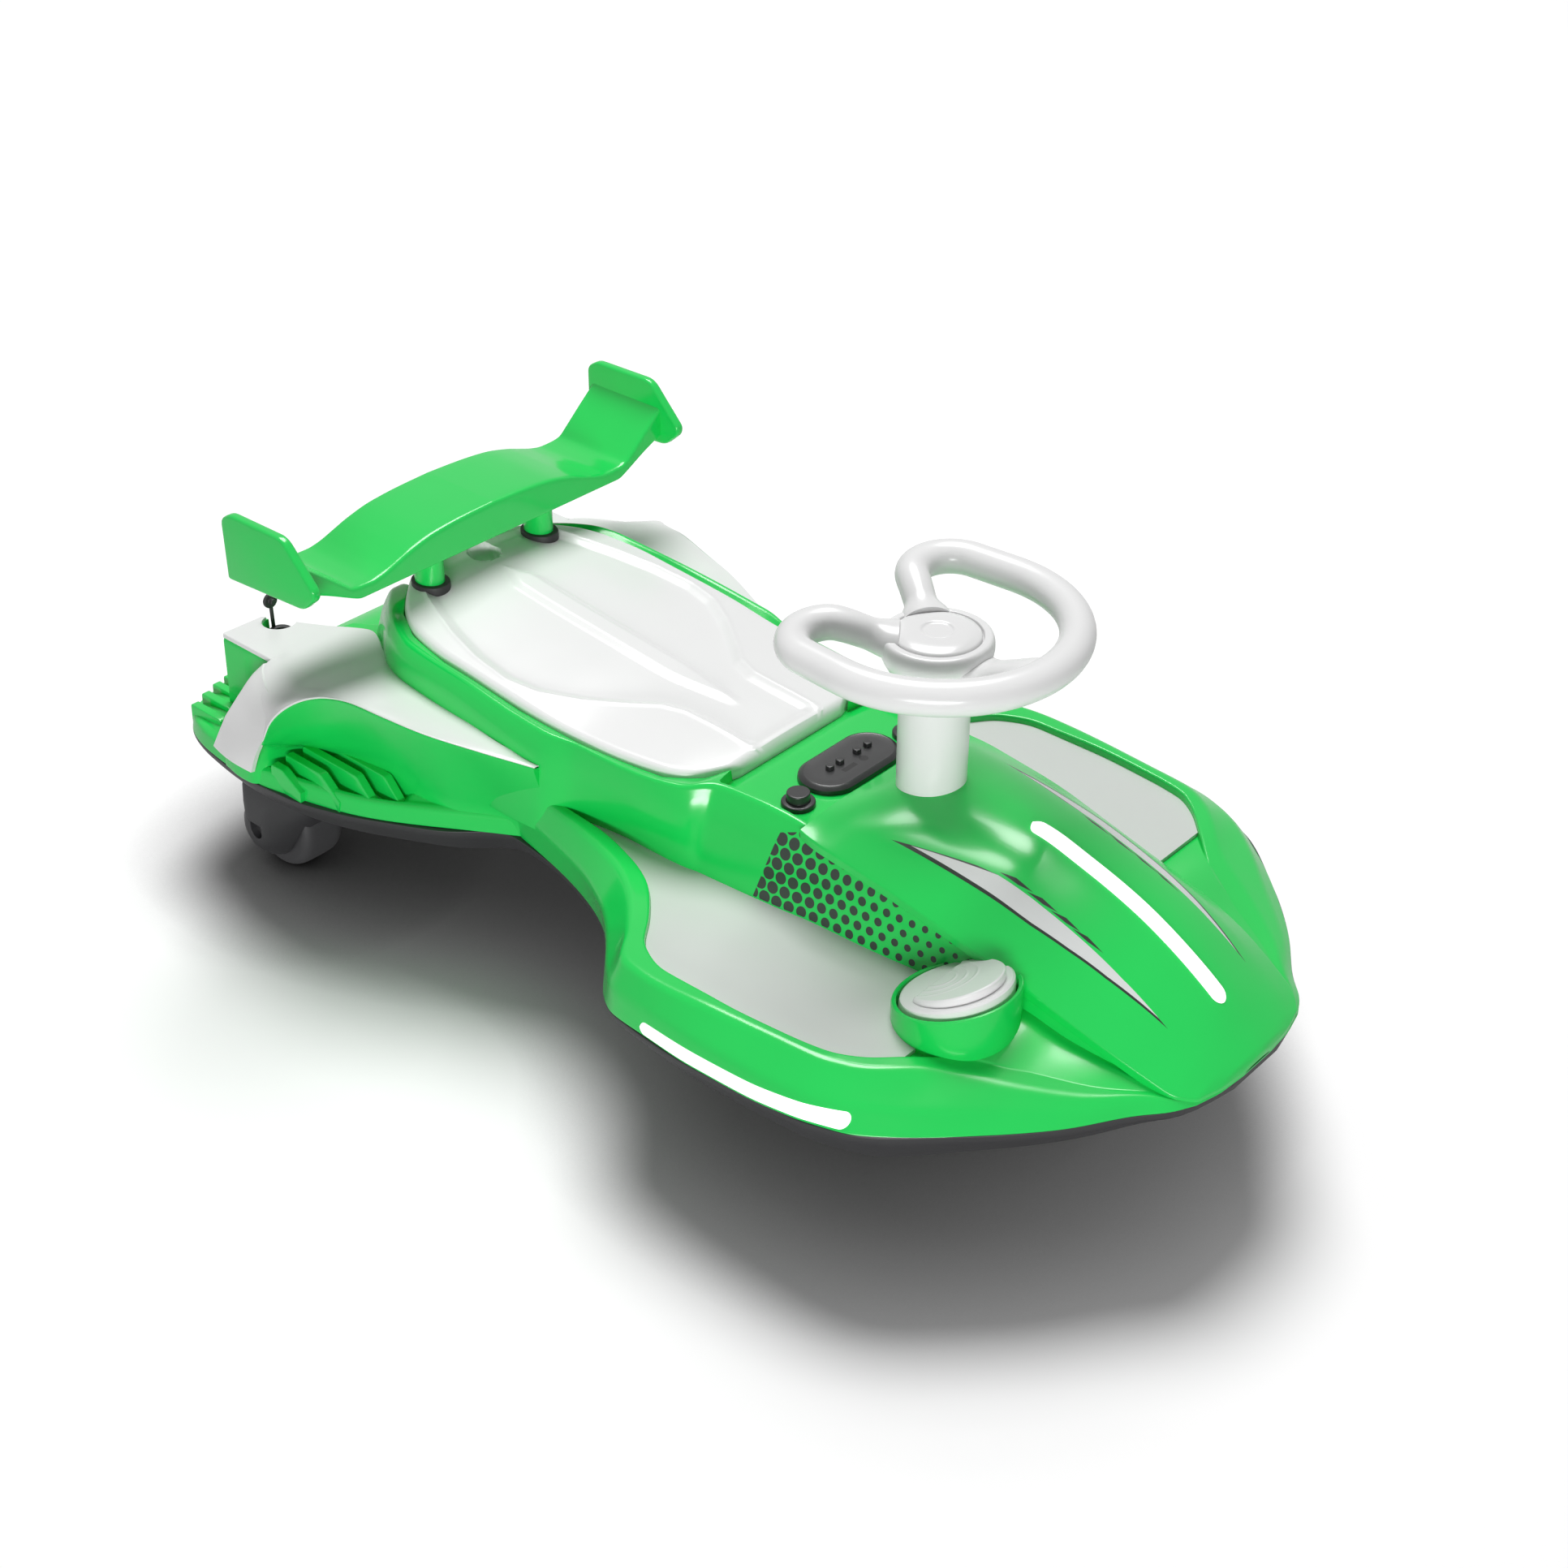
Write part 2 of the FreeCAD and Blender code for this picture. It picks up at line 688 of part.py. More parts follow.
def wing_endplate(side):
    points = [V(x, side * wing_tip_y, z) for x, z in PLATE_LINE]
    return plate(points, V(0, side * plate_t, 0))


def wing_post(side, gap, foot_z, top_z):
    """Oval post between the pan and the blade, grown by a gap."""
    return oval(post_rx + gap, post_ry + gap, post_x, side * post_y, foot_z, top_z - foot_z)


def steering_rim():
    """Open heart-shaped rim: a front arc, two tails that curl in, and three spokes."""
    end = radians(rim_arc_deg)
    middle = V(steer_x, 0, rim_z)
    arc_end = middle + V(rim_r * cos(end), rim_r * sin(end), 0)
    heading = V(-sin(end), cos(end), 0)
    left = V(-cos(end), -sin(end), 0)
    tail_end = arc_end + heading * rim_tail
    curl = tail_end + left * rim_curl_r
    to_hub = middle - curl
    turn_end = atan2(to_hub.y, to_hub.x) - acos(rim_curl_r / to_hub.Length)
    turn_start = atan2(-left.y, -left.x)
    while turn_end < turn_start:
        turn_end += 2 * pi

    def on_curl(angle):
        return curl + V(cos(angle), sin(angle), 0) * rim_curl_r
    spoke_start = on_curl(turn_end)
    inward = (middle - spoke_start).normalize()
    spoke_end = middle - inward * (hub_r - spoke_seat) - V(0, 0, spoke_fall)
    front = middle + V(rim_r, 0, 0)
    arc_mid = middle + V(rim_r * cos(end / 2), rim_r * sin(end / 2), 0)
    edges = [Part.Arc(front, arc_mid, arc_end).toShape(), Part.LineSegment(arc_end, tail_end).toShape(),
             Part.Arc(tail_end, on_curl((turn_start + turn_end) / 2), spoke_start).toShape()]
    ring = Part.Wire(Part.Circle(front, Y_AXIS, rim_tube_r).toShape())
    half = Part.Wire(edges).makePipeShell([ring], True, False)
    joint = Part.makeSphere(rim_tube_r, spoke_start)
    half = fuse(half, joint, rod(rim_tube_r, spoke_start, spoke_end))
    front_spoke = rod(front_spoke_r, V(steer_x + hub_r - spoke_seat, 0, rim_z - spoke_fall), front)
    return fuse(half, half.mirror(V(0, 0, 0), Y_AXIS), front_spoke)


def above(z, tilt_deg):
    """Block above a plane over the pedal cup that rises forward through its middle at z."""
    block = Part.makeBox(cutter_len, cutter_len, cutter_len, V(-cutter_len / 2, -cutter_len / 2, 0))
    block.Placement = FreeCAD.Placement(V(cup_x, -cup_y, z), FreeCAD.Rotation(Y_AXIS, -tilt_deg))
    return block


def pedal_cup():
    """Round cup with a slanted rim, sunk in the tunnel's side."""
    cup = disc(cup_r, cutter_len, cup_x, -cup_y, cup_foot_z)
    bore = disc(cup_r - cup_t, cutter_len, cup_x, -cup_y, cup_floor_z)
    return cut(cup, bore, above(cup_top_z, cup_tilt_deg))


def pedal_disc():
    """Foot pedal: a slanted skirt, and a pad on it whose straight edge is at the rear."""
    skirt = disc(cup_r - cup_t - pedal_gap, cutter_len, cup_x, -cup_y, cup_floor_z)
    skirt = cut(skirt, above(cup_top_z + pedal_skirt_rise, pedal_skirt_tilt_deg))
    pad = disc(pedal_pad_r, cutter_len, cup_x, -cup_y, cup_floor_z)
    behind = box((cup_x - cutter_len, -cup_y - cutter_len, 0),
                 (cup_x - pedal_pad_back, -cup_y + cutter_len, 2 * cutter_len))
    return fuse(skirt, cut(pad, above(cup_top_z + pedal_pad_rise, pedal_pad_tilt_deg), behind))


def charge_cap():
    """Rubber tether beside the socket, with its cap and plug held out sideways."""
    x = charge_x - tether_off
    root = V(x, -charge_y, charge_z)
    neck = root + V(0, 0, socket_h + tether_h)
    button = rod(charge_cap_r, neck - V(charge_cap_t / 2, 0, 0), neck + V(charge_cap_t / 2, 0, 0))
    plug = rod(charge_plug_r, neck, neck + V(charge_plug_len, 0, 0))
    return fuse(rod(tether_r, root, neck), button, plug)


def build_body():
    """Shells, seat, hood, wing and what is fixed to them."""
    parts = {}
    cavities = [battery_blank(fit_gap), motor_blank(fit_gap)]
    shell = upper_shell(cavities)
    lower = cut(lower_shell(), *cavities, shell)
    column = disc(column_r, column_top_z - column_foot_z, steer_x, 0, column_foot_z)
    bush = disc(shaft_r + axle_gap, bush_h, steer_x, 0, column_top_z - bush_h)
    throat = disc(shaft_r + shaft_room, column_top_z - bush_h - column_foot_z, steer_x, 0, column_foot_z)
    collar = disc(column_r + fit_gap, cutter_len, steer_x, 0, spine_floor_z)
    hood = cut(hood_blank(), shell, hood_strip(fit_gap), lower, collar)
    parts["lower_shell"] = lower
    parts["hood"] = hood
    parts["hood_light_strip"] = hood_strip(0)
    parts["column_shroud"] = column.cut(bush).cut(throat)

    blade = wing_blade()
    sockets = [wing_post(side, fit_gap, spine_floor_z, wing_crown_z) for _, side in SIDES]
    seat = cut(seat_blank(), shell, *sockets)
    parts["seat"] = seat
    parts["wing_blade"] = blade
    for name, side in SIDES:
        parts["wing_endplate_" + name] = wing_endplate(side)
        parts["wing_post_" + name] = cut(wing_post(side, 0, post_foot_z, wing_crown_z), shell, blade)
        gasket = wing_post(side, gasket_w, gasket_foot_z, gasket_top_z)
        gasket = gasket.cut(wing_post(side, fit_gap, spine_floor_z, wing_crown_z)).cut(seat).cut(shell)
        parts["post_gasket_" + name] = max(gasket.Solids, key=lambda solid: solid.BoundBox.ZMax)
        parts["footwell_tray_" + name] = cut(tray(side), shell)
        parts["deck_panel_" + name] = cut(deck_panel(side), shell)
        parts["side_light_strip_" + name] = cut(side_strip(side), lower)
    port = disc(dish_r + fit_gap, cutter_len, charge_x, -charge_y, charge_z)
    parts["deck_panel_right"] = cut(parts["deck_panel_right"], port)
    shell = cut(shell, *[parts["side_light_strip_" + name] for name, _ in SIDES])
    parts["upper_shell"] = shell
    parts["battery_block"] = battery_blank(0)
    parts["motor_block"] = motor_blank(0)
    return parts


def build_fittings(shell, hood, trays):
    """Console controls, pedal and charge port, seated on the body."""
    parts = {"control_panel": stadium(panel_w / 2, panel_len / 2, panel_x, panel_z, panel_t)}
    parts["panel_buttons"] = Part.makeCompound([
        disc(panel_button_r, panel_button_h, panel_button_x, y, panel_z + panel_t) for y in PANEL_BUTTON_Y])
    for name, side in SIDES:
        flange = disc(button_r, button_flange_t, button_x, side * button_y, button_foot_z)
        knob = disc(button_knob_r, button_h, button_x, side * button_y, button_foot_z)
        parts["round_button_" + name] = cut(fuse(flange, knob), shell, hood)
    parts["pedal_cup"] = cut(pedal_cup(), shell, hood, *trays)
    parts["pedal"] = cut(pedal_disc(), shell, hood)
    socket = disc(socket_r, socket_h, charge_x, -charge_y, charge_z)
    socket = socket.cut(disc(socket_bore_r, cutter_len, charge_x, -charge_y, charge_z))
    cap = charge_cap()
    parts["charge_socket"] = cut(socket, cap)
    parts["charge_cap"] = cap
    return parts


def build_wheels(lower):
    """Rear wheels in their forks, front wheels on the cross arm."""
    parts = {}
    front_x = steer_x + front_trail
    for name, side in SIDES:
        parts["rear_tyre_" + name], parts["rear_wheel_core_" + name] = wheel(
            rear_wheel_x, side * rear_wheel_y, rear_wheel_r, rear_wheel_w)
        parts["rear_axle_" + name] = rear_axle(side)
        parts["rear_wheel_housing_" + name] = rear_housing(side, lower)
        parts["front_tyre_" + name], parts["front_wheel_core_" + name] = wheel(
            front_x, side * front_track / 2, front_wheel_r, front_wheel_w)
    return parts


def build_steering():
    """Hand wheel, hub, shaft and the cross arm that carries the front axle."""
    parts = {}
    shaft = disc(shaft_r, shaft_top_z - shaft_foot_z, steer_x, 0, shaft_foot_z)
    hub = disc(hub_r, hub_h, steer_x, 0, hub_top_z - hub_h).cut(shaft)
    cap = disc(cap_r, cap_t, steer_x, 0, hub_top_z)
    parts["hub_cap"] = cap
    parts["steering_rim"] = cut(steering_rim(), hub, cap, shaft)
    parts["steering_hub"] = hub
    parts["steering_shaft"] = shaft
    front_x = steer_x + front_trail
    half_arm = front_track / 2 - front_wheel_w / 2 - wheel_side_gap
    arm = box((steer_x - arm_back, -half_arm, arm_low_z), (front_x + arm_front, half_arm, arm_high_z))
    neck = disc(arm_neck_r, arm_top_z - shaft_foot_z, steer_x, 0, shaft_foot_z)
    axle_half = front_track / 2 + front_wheel_w / 2 + axle_stub
    axle = rod(axle_r, V(front_x, -axle_half, front_wheel_r), V(front_x, axle_half, front_wheel_r))
    parts["front_cross_arm"] = fuse(arm, neck).cut(axle).cut(shaft)
    parts["front_axle"] = axle
    return parts


def build():
    parts = build_body()
    trays = [parts["footwell_tray_" + name] for name, _ in SIDES]
    parts.update(build_fittings(parts["upper_shell"], parts["hood"], trays))
    parts.update(build_wheels(parts["lower_shell"]))
    parts.update(build_steering())
    return parts


if __name__ == "__main__":
    os.makedirs("parts", exist_ok=True)
    for name, shape in build().items():
        shape.exportStep("parts/" + name + ".step")
        print(name, len(shape.Solids), round(shape.Volume), shape.isValid())
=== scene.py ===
from math import acos, atan2, cos, pi, radians, sin

import bmesh
import bpy
import numpy as np
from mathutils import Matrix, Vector


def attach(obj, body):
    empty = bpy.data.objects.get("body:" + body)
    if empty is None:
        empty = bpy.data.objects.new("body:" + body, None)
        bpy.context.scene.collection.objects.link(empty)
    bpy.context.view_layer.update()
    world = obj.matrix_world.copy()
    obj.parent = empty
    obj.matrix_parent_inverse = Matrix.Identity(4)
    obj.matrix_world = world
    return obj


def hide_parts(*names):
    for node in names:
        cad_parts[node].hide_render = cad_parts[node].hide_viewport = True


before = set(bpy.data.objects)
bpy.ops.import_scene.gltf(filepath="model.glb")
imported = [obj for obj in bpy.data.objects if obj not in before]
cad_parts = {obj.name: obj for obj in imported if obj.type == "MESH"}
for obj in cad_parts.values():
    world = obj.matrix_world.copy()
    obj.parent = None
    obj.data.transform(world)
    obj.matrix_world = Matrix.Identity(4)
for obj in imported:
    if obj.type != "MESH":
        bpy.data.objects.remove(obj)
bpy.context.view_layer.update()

bl_info = {
    "name": "Electric wiggle car",
    "version": (1, 0, 0),
    "blender": (4, 5, 0),
    "location": "View3D > Sidebar > Wiggle car",
    "description": "Builds the moulded pieces, finishes and stage of a child's electric wiggle car",
    "category": "Object",
}

MM = 0.001
SIDES = (("right", -1), ("left", 1))

# Places and sizes that several pieces share, in millimetres
STEER_X = 185
RIM_Z = 367
PEDAL_X = 302
PEDAL_Y = -116
PORT = (-401, -121, 0)
PORT_Z = 185
PORT_R = 14
POST_Y = 59
NOSE_TIP = 16

# Wheels: x, y, radius, half width. Room of a rear wheel: radius, half width
REAR_WHEEL = (-371, 153, 43, 20)
FRONT_WHEEL = (209, 65, 32, 13)
WHEEL_ROOM = (49, 22.5)

# Distance between sections along the body, and how far they are averaged
STATION = 3.0
SOFTEN = 4.0

# Sections of the body, in millimetres. All follow the car from the rear to the nose.

# Columns: x, wall_y and wall_z at the tunnel's foot, lip_y inside the raised rim, rim_z,
# fold_y outside it, crease_y and crease_z on the flank, edge_y and edge_z at the parting line
FLARE = (
    (-112, 112, 163, 116, 171, 127, 130, 150, 126, 121),
    (-74, 117, 163, 121, 172, 130, 137, 148, 133, 120),
    (-26, 111, 163, 124, 171, 138, 149, 147, 146, 120),
    (18, 112, 163, 134, 170, 150, 169, 147, 166, 121),
    (46, 112, 163, 146, 169, 167, 190, 147, 191, 122),
    (76, 111, 163, 174, 168, 197, 219, 147, 223, 123),
    (96, 109, 163, 199, 168, 223, 233, 147, 234, 125),
    (128, 107, 163, 211, 168, 227, 236, 148, 238, 127),
    (180, 103, 163, 211, 169, 223, 238, 150, 242, 129),
    (225, 99, 163, 208, 169, 218, 237, 151, 242, 131),
    (266, 94, 163, 202, 169, 213, 233, 153, 240, 135),
    (288, 92, 163, 188, 167, 203, 226, 154, 236, 137),
    (303, 91, 163, 172, 166, 190, 219, 154, 232, 138),
    (330, 89, 170, 145, 162, 162, 200, 152, 214, 138),
    (367, 86, 163, 122, 156, 140, 164, 149, 180, 139),
    (406, 82, 156, 100, 151, 112, 126, 146, 137, 139),
    (434, 72, 150, 78, 149, 84, 90, 145, 96, 140),
    (450, 62, 147, 67, 146, 71, 74, 144, 79, 141),
    (458, 50, 145, 53, 144.5, 56, 58, 143.5, 63, 141),
    (463, 30, 144, 33, 143.5, 36, 38, 143, 43, 141),
    (465, 8, 143.5, 10, 143, 12, 14, 142.5, 18, 141),
)

# Columns: x, top_z in the middle, rim_y and rim_z at the upper edge, foot_y and foot_z at the deck
SPINE = (
    (-342, 150, 58, 152, 72, 149),
    (-332, 196, 64, 200, 82, 190),
    (-308, 240, 76, 248, 92, 197),
    (-290, 241, 92, 250, 104, 199),
    (-268, 241, 108, 250, 118, 200),
    (-235, 236, 120, 245, 128, 200),
    (-170, 229, 122, 240, 134, 195),
    (-115, 223, 124, 234, 136, 185),
    (-82, 220, 124, 231, 134, 170),
    (-53, 217, 118, 229, 119, 150),
    (0, 216, 115, 227, 112, 150),
    (40, 215, 106, 227, 113, 150),
    (57, 215, 94, 230, 113, 150),
    (61, 221, 90, 229, 113, 150),
    (96, 222, 86, 229, 111, 150),
    (140, 222, 84, 226, 107, 150),
    (154, 222, 84, 218, 105, 150),
    (216, 222, 84, 212, 101, 150),
    (295, 196, 84, 194, 92, 150),
    (367, 176, 84, 176, 86, 150),
    (434, 152, 72, 152, 74, 143),
)

# Columns: x, crown_z in the middle, shoulder_y and shoulder_z, edge_y and edge_z at the long side ridges
HOOD = (
    (140, 226, 50, 229, 89, 225),
    (152, 231, 51, 234, 91, 223),
    (166, 238, 52, 238, 92, 222),
    (190, 246, 54, 239, 92, 219),
    (226, 248, 54, 238, 92, 214),
    (280, 246, 54, 233, 90, 202),
    (320, 236, 54, 223, 89, 192),
    (361, 222, 53, 209, 88, 182),
    (395, 205, 50, 193, 85, 171),
    (434, 179, 46, 168, 77, 155),
    (450, 163, 43, 158, 72, 148),
    (458, 156, 36, 152, 61, 146),
    (463, 151, 25, 149, 41, 145),
    (465, 148, 10, 147, 16, 144.5),
)

# One side. Columns: x, foot_y and foot_z at the seat pan, crest_y and crest_z at the deck's outer
# corner, brow_y and brow_z on the bulge, arch_y and arch_z on the arch line, wall_y and wall_z at
# the wall's foot, edge_y and edge_z at the parting line
HAUNCH = (
    (-418, 125, 199, 165, 200, 166, 176, 167, 152, 168, 142, 201, 116),
    (-384, 109, 199, 165, 200, 166, 176, 167, 152, 169, 144, 209, 117),
    (-377, 105, 199, 165, 200, 166, 158, 197, 156, 211, 132, 210, 117),
    (-366, 99, 199, 165, 200, 166, 183, 185, 180, 212, 132, 212, 118),
    (-357, 95, 200, 165, 200, 174, 198, 198, 175, 214, 132, 213, 118),
    (-345, 89, 201, 168, 202, 182, 199, 205, 174, 215, 132, 214, 118),
    (-328, 84, 203, 174, 204, 196, 197, 213, 165, 215, 133, 215, 119),
    (-310, 91, 205, 180, 207, 204, 198, 217, 163, 176, 146, 213, 120),
    (-295, 100, 206, 186, 210, 207, 203, 217, 188, 172, 147, 211, 120),
    (-283, 106, 207, 188, 213, 203, 210, 210, 204, 169, 147, 209, 120),
    (-274, 110, 208, 186, 215, 196, 213, 200, 211, 167, 147, 207, 120),
    (-255, 115, 209, 182, 218, 188, 218, 190, 217, 164, 147, 202, 120),
    (-234, 120, 210, 178, 219, 183, 220, 185, 220, 161, 146, 194, 120),
    (-205, 124, 210, 172, 217, 177, 217, 179, 217, 158, 145, 180, 120),
    (-168, 130, 210, 164, 213, 169, 214, 171, 213, 150, 141, 161, 120),
    (-120, 134, 208, 148, 209, 152, 209, 154, 208, 126, 137, 129, 121),
    (-80, 126, 200, 132, 204, 135, 204, 137, 203, 121, 140, 127, 121),
)

# Columns: x, deck_y, deck_z, edge_y, edge_z
TAIL = (
    (-465, 118, 130, 122, 114),
    (-455, 150, 134, 176, 114),
    (-440, 160, 138, 194, 115),
    (-400, 166, 142, 206, 116),
    (-340, 168, 148, 212, 118),
    (-250, 150, 150, 196, 120),
    (-112, 100, 150, 124, 121),
)

# Columns: x, edge_y and edge_z at the parting line, drop below it
KEEL = (
    (-465, 122, 114, 14),
    (-455, 176, 114, 20),
    (-440, 194, 115, 24),
    (-400, 206, 116, 26),
    (-340, 213, 118, 26),
    (-296, 211, 120, 26),
    (-245, 198, 120, 26),
    (-205, 180, 120, 26),
    (-168, 161, 120, 26),
    (-120, 129, 121, 26),
    (-74, 133, 120, 24),
    (-26, 146, 120, 24),
    (18, 166, 121, 24),
    (46, 191, 122, 24),
    (76, 223, 123, 24),
    (96, 234, 125, 25),
    (180, 242, 129, 28),
    (266, 240, 135, 30),
    (303, 232, 138, 30),
    (367, 180, 139, 24),
    (406, 137, 139, 20),
    (434, 96, 140, 16),
    (450, 79, 141, 12),
    (458, 63, 141, 10),
    (462, 48, 141, 8),
    (464, 30, 141, 6),
)

# Columns: x, y and edge_z of the edge, crown_z in the middle
SEAT = (
    (-300, 62, 256, 263),
    (-272, 92, 253, 262),
    (-245, 106, 249, 258),
    (-200, 113, 244, 252),
    (-115, 114, 236, 243),
    (-53, 111, 230, 237),
    (20, 100, 229, 233),
    (46, 80, 228, 231),
    (54, 56, 228, 230),
)

# Line where the seat's border drops to its dished middle. Columns: x, y
SEAT_GROOVE = (
    (-300, 50), (-280, 66), (-262, 75), (-244, 82), (-216, 91), (-181, 99), (-144, 102), (-116, 97),
    (-87, 82), (-54, 58), (-38, 45), (-18, 38), (8, 37), (54, 37),
)
# Finger dish at the seat's rear: x, y, radius, depth
FINGER_DISH = (-282, 2, 13, 9)

# Columns: y, rear_x, front_x, top_z
RIBS = (
    (203, -314, -279, 141),
    (191, -310, -246, 146),
    (178, -304, -218, 150),
    (165.5, -297, -199, 152),
    (187, -441, -400, 141),
    (173.5, -444, -404, 144),
    (160, -447, -416, 146),
    (147, -449, -416, 147),
    (134, -450, -416, 147),
)

# Edges of the white skin on a haunch in the side view. Columns: x, z
BAND_REAR = ((-383, 131), (-377, 156), (-366, 180), (-361, 193), (-357, 200))
BAND_FRONT = ((-328, 131), (-310, 163), (-303, 175), (-302, 180), (-301, 200))

# The same skin seen from the rear. Columns: z, y at its rear edge, y at its front edge
BAND_SIDES = ((131, 211.5, 216), (156, 200.5, 218), (180, 188.5, 213.5), (193, 180, 208), (200, 171, 202))

# Endplate outline in the side view. Columns: x, z
PLATE_LINE = ((-349, 342), (-338, 349), (-274, 350), (-242, 316), (-243, 309), (-258, 296), (-350, 290))

# Fork over a rear wheel, from its inner face outwards. Columns: y, radius about the axle, and
# the block above it: top, front, rear. The last rows turn in to the hole on the axle
FORK = (
    (116.5, 27, 57, 56, 20), (118.5, 29, 58, 58, 22), (171, 29, 58, 58, 22), (178, 28, 56, 52, 21),
    (184, 25, 50, 40, 19), (188, 21.5, 42, 28, 17), (191, 17, 30, 19, 14), (192.3, 13, 16, 13, 12),
    (192.4, 7.5, 7.5, 7.5, 7.5), (192, 7, 7, 7, 7), (186.5, 6.8, 6.8, 6.8, 6.8),
)

# How the fork's corners are averaged round each outline. Columns: shift, weight
SOFT_CORNER = ((-2, 0.1), (-1, 0.2), (0, 0.4), (1, 0.2), (2, 0.1))

# Blade's upper line across the car. Columns: y, crest_z, lip_z of the front face
WING_LINE = (
    (0, 312, 281), (30, 311, 281), (60, 308.5, 281), (85, 303, 281), (100, 298, 281),
    (114, 293.5, 281), (126, 291.5, 281), (138, 291.8, 281), (146, 293, 284), (154, 299, 288),
    (170, 312.5, 296), (189, 328, 304),
)


# Shapes

def smooth_table(table, step=STATION, soften=SOFTEN, tip=0.0):
    """Rows of a table read again every step along x, and closer over the last tip millimetres.

    Each column is a cubic through the rows whose slope at a row is the harmonic mean of its two
    neighbouring slopes, or zero where they differ in sign, then averaged with a bell of width soften.
    """
    rows = np.array(table, float)
    x, values = rows[:, 0], rows[:, 1:]
    gaps = np.diff(x)[:, None]
    slopes = np.diff(values, axis=0) / gaps
    product = slopes[1:] * slopes[:-1]
    total = slopes[1:] + slopes[:-1]
    inner = np.where(product > 0, 2 * product / np.where(product > 0, total, 1), 0)
    tangents = np.vstack([slopes[:1], inner, slopes[-1:]])
    count = int(round((x[-1] - x[0]) / step)) + 1
    at = np.linspace(x[0], x[-1], count)
    cell = np.clip(np.searchsorted(x, at, side="right") - 1, 0, len(x) - 2)
    t = ((at - x[cell]) / gaps[cell, 0])[:, None]
    run = gaps[cell]
    curve = ((2 * t ** 3 - 3 * t ** 2 + 1) * values[cell] + (t ** 3 - 2 * t ** 2 + t) * run * tangents[cell]
             + (3 * t ** 2 - 2 * t ** 3) * values[cell + 1] + (t ** 3 - t ** 2) * run * tangents[cell + 1])
    reach = int(3 * soften / step)
    if reach:
        bell = np.exp(-0.5 * (np.arange(-reach, reach + 1) * step / soften) ** 2)
        before = 2 * curve[:1] - curve[reach:0:-1]
        after = 2 * curve[-1:] - curve[-2:-reach - 2:-1]
        padded = np.concatenate([before, curve, after])
        curve = sum(weight * padded[k:k + count] for k, weight in enumerate(bell / bell.sum()))
    if tip:
        ahead = x[-1] - tip * (1 - np.sin(np.linspace(0, pi / 2, 14)))
        body = at < ahead[0]
        round_end = np.stack([np.interp(ahead, x, column) for column in values.T], axis=-1)
        share = soft_step(ahead, ahead[0], ahead[0] + tip / 2)[:, None]
        smooth_end = np.stack([np.interp(ahead, at, column) for column in curve.T], axis=-1)
        curve = np.concatenate([curve[body], smooth_end + (round_end - smooth_end) * share])
        at = np.concatenate([at[body], ahead])
    return at, curve


def round_loop(loops, radii, steps=6, spans=(0.15, 0.5, 0.85)):
    """Closed loops with round corners.

    A corner P between A and B, its radius away on both sides, becomes the curve
    (1-t)^2 A + 2t(1-t) P + t^2 B. Straight spans get points at the shares in spans.
    """
    before, after = np.roll(loops, 1, axis=1), np.roll(loops, -1, axis=1)
    reach_in = np.maximum(np.linalg.norm(before - loops, axis=2, keepdims=True), 1e-6)
    reach_out = np.maximum(np.linalg.norm(after - loops, axis=2, keepdims=True), 1e-6)
    radius = np.asarray(radii, float)[None, :, None]
    start = loops + (before - loops) * np.minimum(radius / reach_in, 0.48)
    end = loops + (after - loops) * np.minimum(radius / reach_out, 0.48)
    t = np.linspace(0, 1, steps)[:, None]
    arcs = (1 - t) ** 2 * start[:, :, None] + 2 * t * (1 - t) * loops[:, :, None] + t ** 2 * end[:, :, None]
    share = np.array(spans)[:, None]
    straight = end[:, :, None] + (np.roll(start, -1, axis=1) - end)[:, :, None] * share
    both = np.concatenate([arcs, straight], axis=2)
    return both.reshape(len(loops), -1, loops.shape[2])


def mirrored(half):
    """Closed loops across the car from half loops whose ends lie on the middle plane."""
    return np.concatenate([half * (-1, 1), half[:, -2:0:-1]], axis=1)


def both_radii(radii):
    """Radii of a mirrored loop from those of its half."""
    return list(radii) + list(radii)[-2:0:-1]


def columns(*pairs):
    """Loops of (y, z) points from pairs of columns or numbers."""
    size = max(np.size(value) for pair in pairs for value in pair)
    spread = [np.stack([np.broadcast_to(value, size) for value in pair], axis=-1) for pair in pairs]
    return np.stack(spread, axis=1)


def at_stations(x, loops):
    """(y, z) loops placed at their stations x."""
    stations = np.broadcast_to(x[:, None, None], loops.shape[:2] + (1,))
    return np.concatenate([stations, loops], axis=2)


def at_height(outline, z):
    """An (x, y) outline lifted to the height z."""
    return np.concatenate([outline, np.full((len(outline), 1), z)], axis=1)


def turned(profile, centre, axis="z", around=64):
    """A (radius, height) profile turned about an axis: centre + r cos a, r sin a across it, h along it."""
    angle = np.linspace(0, 2 * pi, around, endpoint=False)
    radius, height = np.array(profile, float).T[:, :, None]
    u, v, h = radius * np.cos(angle), radius * np.sin(angle), height + 0 * angle
    order = {"z": (u, v, h), "y": (u, h, -v), "x": (h, u, v)}[axis]
    return np.stack(order, axis=-1) + np.array(centre, float)


def rounded_profile(profile, radii, steps=5):
    """An open (radius, height) profile with round corners, its two end points kept."""
    line = np.array(profile, float)[None]
    inner = round_loop(line, [0] + list(radii) + [0], steps, spans=(0.1, 0.9))[0]
    per = steps + 2
    return np.concatenate([line[0, :1], inner[per - 2:-per], line[0, -1:]])


def ellipse(rx, ry, around=48):
    """Outline x = rx cos a, y = ry sin a."""
    angle = np.linspace(0, 2 * pi, around, endpoint=False)
    return np.stack([rx * np.cos(angle), ry * np.sin(angle)], axis=-1)


